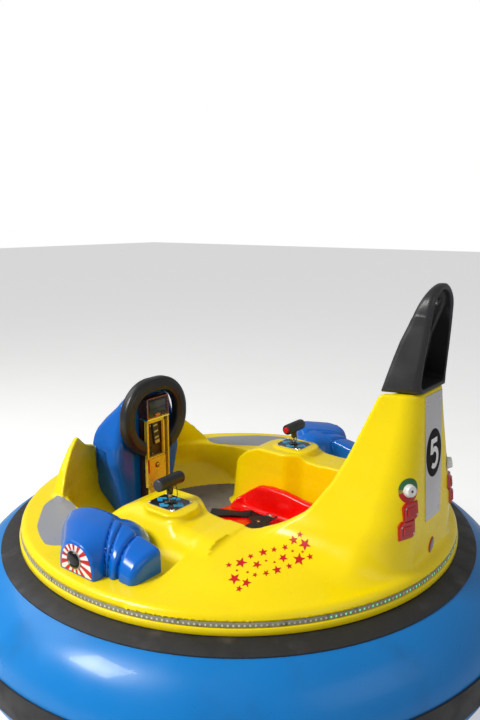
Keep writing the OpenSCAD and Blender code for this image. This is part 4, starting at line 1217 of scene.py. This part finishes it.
# Belt
STRAP_X = -0.035
WEBBING_W, WEBBING_T = 0.048, 0.0016
belt = Shape(webbing, hard_black, chrome, red_film)
rise = curve([(-0.18, 0.0), (-0.10, 0.001), (-0.03, 0.004), (0.04, 0.006), (0.10, 0.002), (0.18, 0.0)], 0.05)
# The loose end's way over the seat pan, as x and y
LOOSE_END = [(0.150, -0.035), (0.128, -0.062), (0.100, -0.090), (0.075, -0.120), (0.050, -0.142),
             (0.015, -0.138), (-0.020, -0.110), (-0.055, -0.075), (-0.086, -0.042)]


def strap(points, width, thickness):
    """Webbing through points of (x, y, z), flat side up and level across X."""
    section = ((-1, 0), (1, 0), (1, 1), (0.9, 1.25), (-0.9, 1.25), (-1, 1))
    rows = []
    for i, p in enumerate(points):
        before, after = Vector(points[max(i - 1, 0)]), Vector(points[min(i + 1, len(points) - 1)])
        along = (after - before).normalized()
        across = (Vector((1, 0, 0)) - along * along.x).normalized()
        lift = across.cross(along)
        lift = lift if lift.z > 0 else -lift
        rows.append([Vector(p) + across * a * width / 2 + lift * b * thickness for a, b in section])
    n = len(section)
    last = (len(rows) - 1) * n
    ends = [tuple(range(n)), tuple(range(last + n - 1, last - 1, -1))]
    belt.add([q for row in rows for q in row], turned_over(grid(len(rows), n, False, True)) + ends)


def lap_strap(start, end, height, width, sideways):
    """Webbing across the pan from one y to another, lying on what is under it."""
    points = [(STRAP_X + sideways(y), y, height + float(rise(y))) for y in np.arange(start, end, 0.012)]
    strap(points, width, WEBBING_T)


lap_strap(-0.169, 0.0701, PAN_Z + 0.001, WEBBING_W, lambda y: 0.004 * math.sin(14 * y))
lap_strap(0.062, 0.1701, PAN_Z + 0.001, WEBBING_W, lambda y: 0.003 * math.sin(11 * y + 1))
lap_strap(-0.130, 0.0301, PAN_Z + 0.0032, WEBBING_W * 0.96, lambda y: -0.003)
loose, _ = settle(seat, np.array([(x, y, 0.440) for x, y in LOOSE_END]), 0.02, 6)
lifts = [0.0035 + 0.006 * abs(math.sin(1.1 * k)) for k in range(len(LOOSE_END))]
strap([(x, y, z + lift) for (x, y, z), lift in zip(loose, lifts)], WEBBING_W * 1.35, 0.0030)
tongue = place_at((-0.040, -0.070, 0.4125), (1, -0.8, 0), (0, 0, 1))
belt.blocks(tongue, 0.0, 0.0022, 0.0008, hard_black, [(-0.016, 0.016, -0.009, 0.009, 0.003)])
belt.turned([(0.0045, 0.0022), (0.0045, 0.0034), (0.0, 0.0038)], tongue, chrome, 16)
buckle = place_at((STRAP_X, 0.058, 0.4075), (0, 1, 0), (0, 0, 1))
belt.blocks(buckle, -0.001, 0.0085, 0.003, hard_black, [(-0.036, 0.036, -0.0245, 0.0245, 0.006)])
belt.blocks(buckle, 0.0085, 0.0098, 0.0006, red_film, [(0.010, 0.028, -0.013, 0.013, 0.003)])
belt.blocks(buckle, 0.002, 0.0045, 0.0008, chrome, [(-0.060, -0.034, -0.021, 0.021, 0.003)])
belt.blocks(buckle, 0.0045, 0.0062, 0.0, webbing, [(-0.052, -0.044, -0.017, 0.017, 0.001)])
for y in (-0.158, 0.158):
    anchor = place_at((STRAP_X, y, 0.4055), (1, 0, 0), (0, 0, 1))
    belt.blocks(anchor, -0.001, 0.0015, 0.0005, chrome, [(-0.022, 0.022, -0.010, 0.010, 0.004)])
    belt.turned([(0.0070, 0.0015), (0.0070, 0.0040), (0.0060, 0.0050), (0.0, 0.0051)], anchor, chrome, 6)
piece = belt.piece("belt_webbing", smooth=True)
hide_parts("seat_belt")


# Drive wheels: tyre, place of the wheel, tread
TYRE_R, TYRE_BORE, TYRE_HALF = 0.125, 0.076, 0.031
TRACK_HALF = 0.340
SHOULDER, GROOVE, LUGS = 0.012, 0.0035, 20
TYRE_SECTION = both_ways([
    (TYRE_BORE, -TYRE_HALF + 0.002), (TYRE_BORE + 0.006, -TYRE_HALF), (TYRE_R - SHOULDER, -TYRE_HALF),
    (TYRE_R - 0.3 * SHOULDER, -TYRE_HALF + 0.3 * SHOULDER), (TYRE_R, -TYRE_HALF + SHOULDER),
    (TYRE_R, -0.012), (TYRE_R - GROOVE, -0.010)])
NUT = [(0.0075, 0.0), (0.0075, 0.0050), (0.0062, 0.0062), (0.0030, 0.0062), (0.0030, 0.0090), (0.0, 0.0094)]


def tyre_points(middle_y):
    """A tyre turned about Y, its tread cut by cross grooves."""
    points = []
    for i, a in enumerate(turns(LUGS * 3)):
        tread_r = TYRE_R - GROOVE if i % 3 == 0 else TYRE_R
        for r, w in TYRE_SECTION:
            x, z = polar(min(r, tread_r) if r > TYRE_R - SHOULDER else r, a)
            points.append((x, middle_y + w, TYRE_R + z))
    return points


for side_name, side in SIDES:
    piece = add_faces(f"drive_tyre_{side_name}_tread", tyre_points(side * TRACK_HALF),
                      turned_over(grid(LUGS * 3, len(TYRE_SECTION))), tyre_rubber, f"drive_wheel_{side_name}")
    piece.data.set_sharp_from_angle(angle=math.radians(40))
    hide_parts(f"drive_tyre_{side_name}")
    nuts = Shape(zinc)
    for a in turns(5):
        x, z = polar(0.044, a)
        spot = place_at((x, side * (TRACK_HALF + 0.019), TYRE_R + z), (1, 0, 0), (0, side, 0))
        nuts.turned(NUT, spot, zinc, 6)
    nuts.piece(f"hub_nuts_{side_name}", body=f"drive_wheel_{side_name}")

# Bolts of the chassis plate, seen from below
PLATE_FOOT = 0.092
RIM_BOLT = [(0.0, -0.0072), (0.0070, -0.0072), (0.0085, -0.0058), (0.0085, -0.0016), (0.0120, -0.0016),
            (0.0120, 0.0)]
BATTERY_BOLT = [(0.0, -0.0062), (0.0060, -0.0062), (0.0074, -0.0050), (0.0074, 0.0)]
bolts = Shape(zinc)
for a in turns(24, 0.5):
    bolts.turned(RIM_BOLT, Matrix.Translation((*polar(0.560, a), PLATE_FOOT)), zinc, 6)
for x in (-0.14, 0.14):
    for y in (-0.10, 0.0, 0.10):
        bolts.turned(BATTERY_BOLT, Matrix.Translation((x, y, PLATE_FOOT)), zinc, 6)
bolts.piece("chassis_bolts")


# Camera and light
SENSOR_W = 36
camera_data = bpy.data.cameras.new("camera")
camera = bpy.data.objects.new("camera", camera_data)
bpy.context.scene.collection.objects.link(camera)
camera_data.sensor_width = SENSOR_W
camera_data.lens = FOCAL / PHOTO_H * SENSOR_W
camera.location = CAMERA
camera.rotation_mode = "QUATERNION"
camera.rotation_quaternion = CAMERA_TURN
bpy.context.scene.camera = camera

bpy.ops.mesh.primitive_plane_add(size=60)
floor = bpy.context.object
floor.name = "floor"
floor_finish = material("pale_floor", (0.80, 0.80, 0.80), 0.9, worn=0.02, mottle=0.01)
floor.data.materials.append(floor_finish)


def seen_directly(tree, target, seen, other):
    """A strength that has its own value where the camera looks straight at the stage."""
    path = tree.nodes.new("ShaderNodeLightPath")
    pick = tree.nodes.new("ShaderNodeMapRange")
    pick.inputs["To Min"].default_value = other
    pick.inputs["To Max"].default_value = seen
    tree.links.new(path.outputs["Is Camera Ray"], pick.inputs["Value"])
    tree.links.new(pick.outputs["Result"], target)


def area_light(name, place, size, power, tint):
    data = bpy.data.lights.new(name, "AREA")
    data.shape = "RECTANGLE"
    data.size, data.size_y = size
    data.energy = power
    data.color = tint
    light = bpy.data.objects.new(name, data)
    bpy.context.scene.collection.objects.link(light)
    light.location = place
    aim = Vector((0, 0, 0.6)) - Vector(place)
    light.rotation_euler = aim.to_track_quat("-Z", "Y").to_euler()


floor_shader = floor_finish.node_tree.nodes["Principled BSDF"]
floor_shader.inputs["Emission Color"].default_value = (1, 1, 1, 1)
seen_directly(floor_finish.node_tree, floor_shader.inputs["Emission Strength"], 0.40, 0.0)
# Each light: place, size in metres, power in watts, tint
area_light("key", (1.5, 3.5, 4.0), (1.5, 1.5), 205, (1.0, 0.98, 0.94))
area_light("fill", (-4.0, 0.5, 2.6), (3.0, 2.0), 14, (0.94, 0.97, 1.0))
area_light("front", (3.2, 1.0, 3.5), (2.5, 2.0), 30, (1.0, 1.0, 1.0))

world = bpy.data.worlds.new("studio")
bpy.context.scene.world = world
world.use_nodes = True
plain = world.node_tree.nodes["Background"]
plain.inputs["Color"].default_value = (1, 1, 1, 1)
seen_directly(world.node_tree, plain.inputs["Strength"], 1.0, 0.34)
bpy.context.scene.view_settings.view_transform = "Standard"
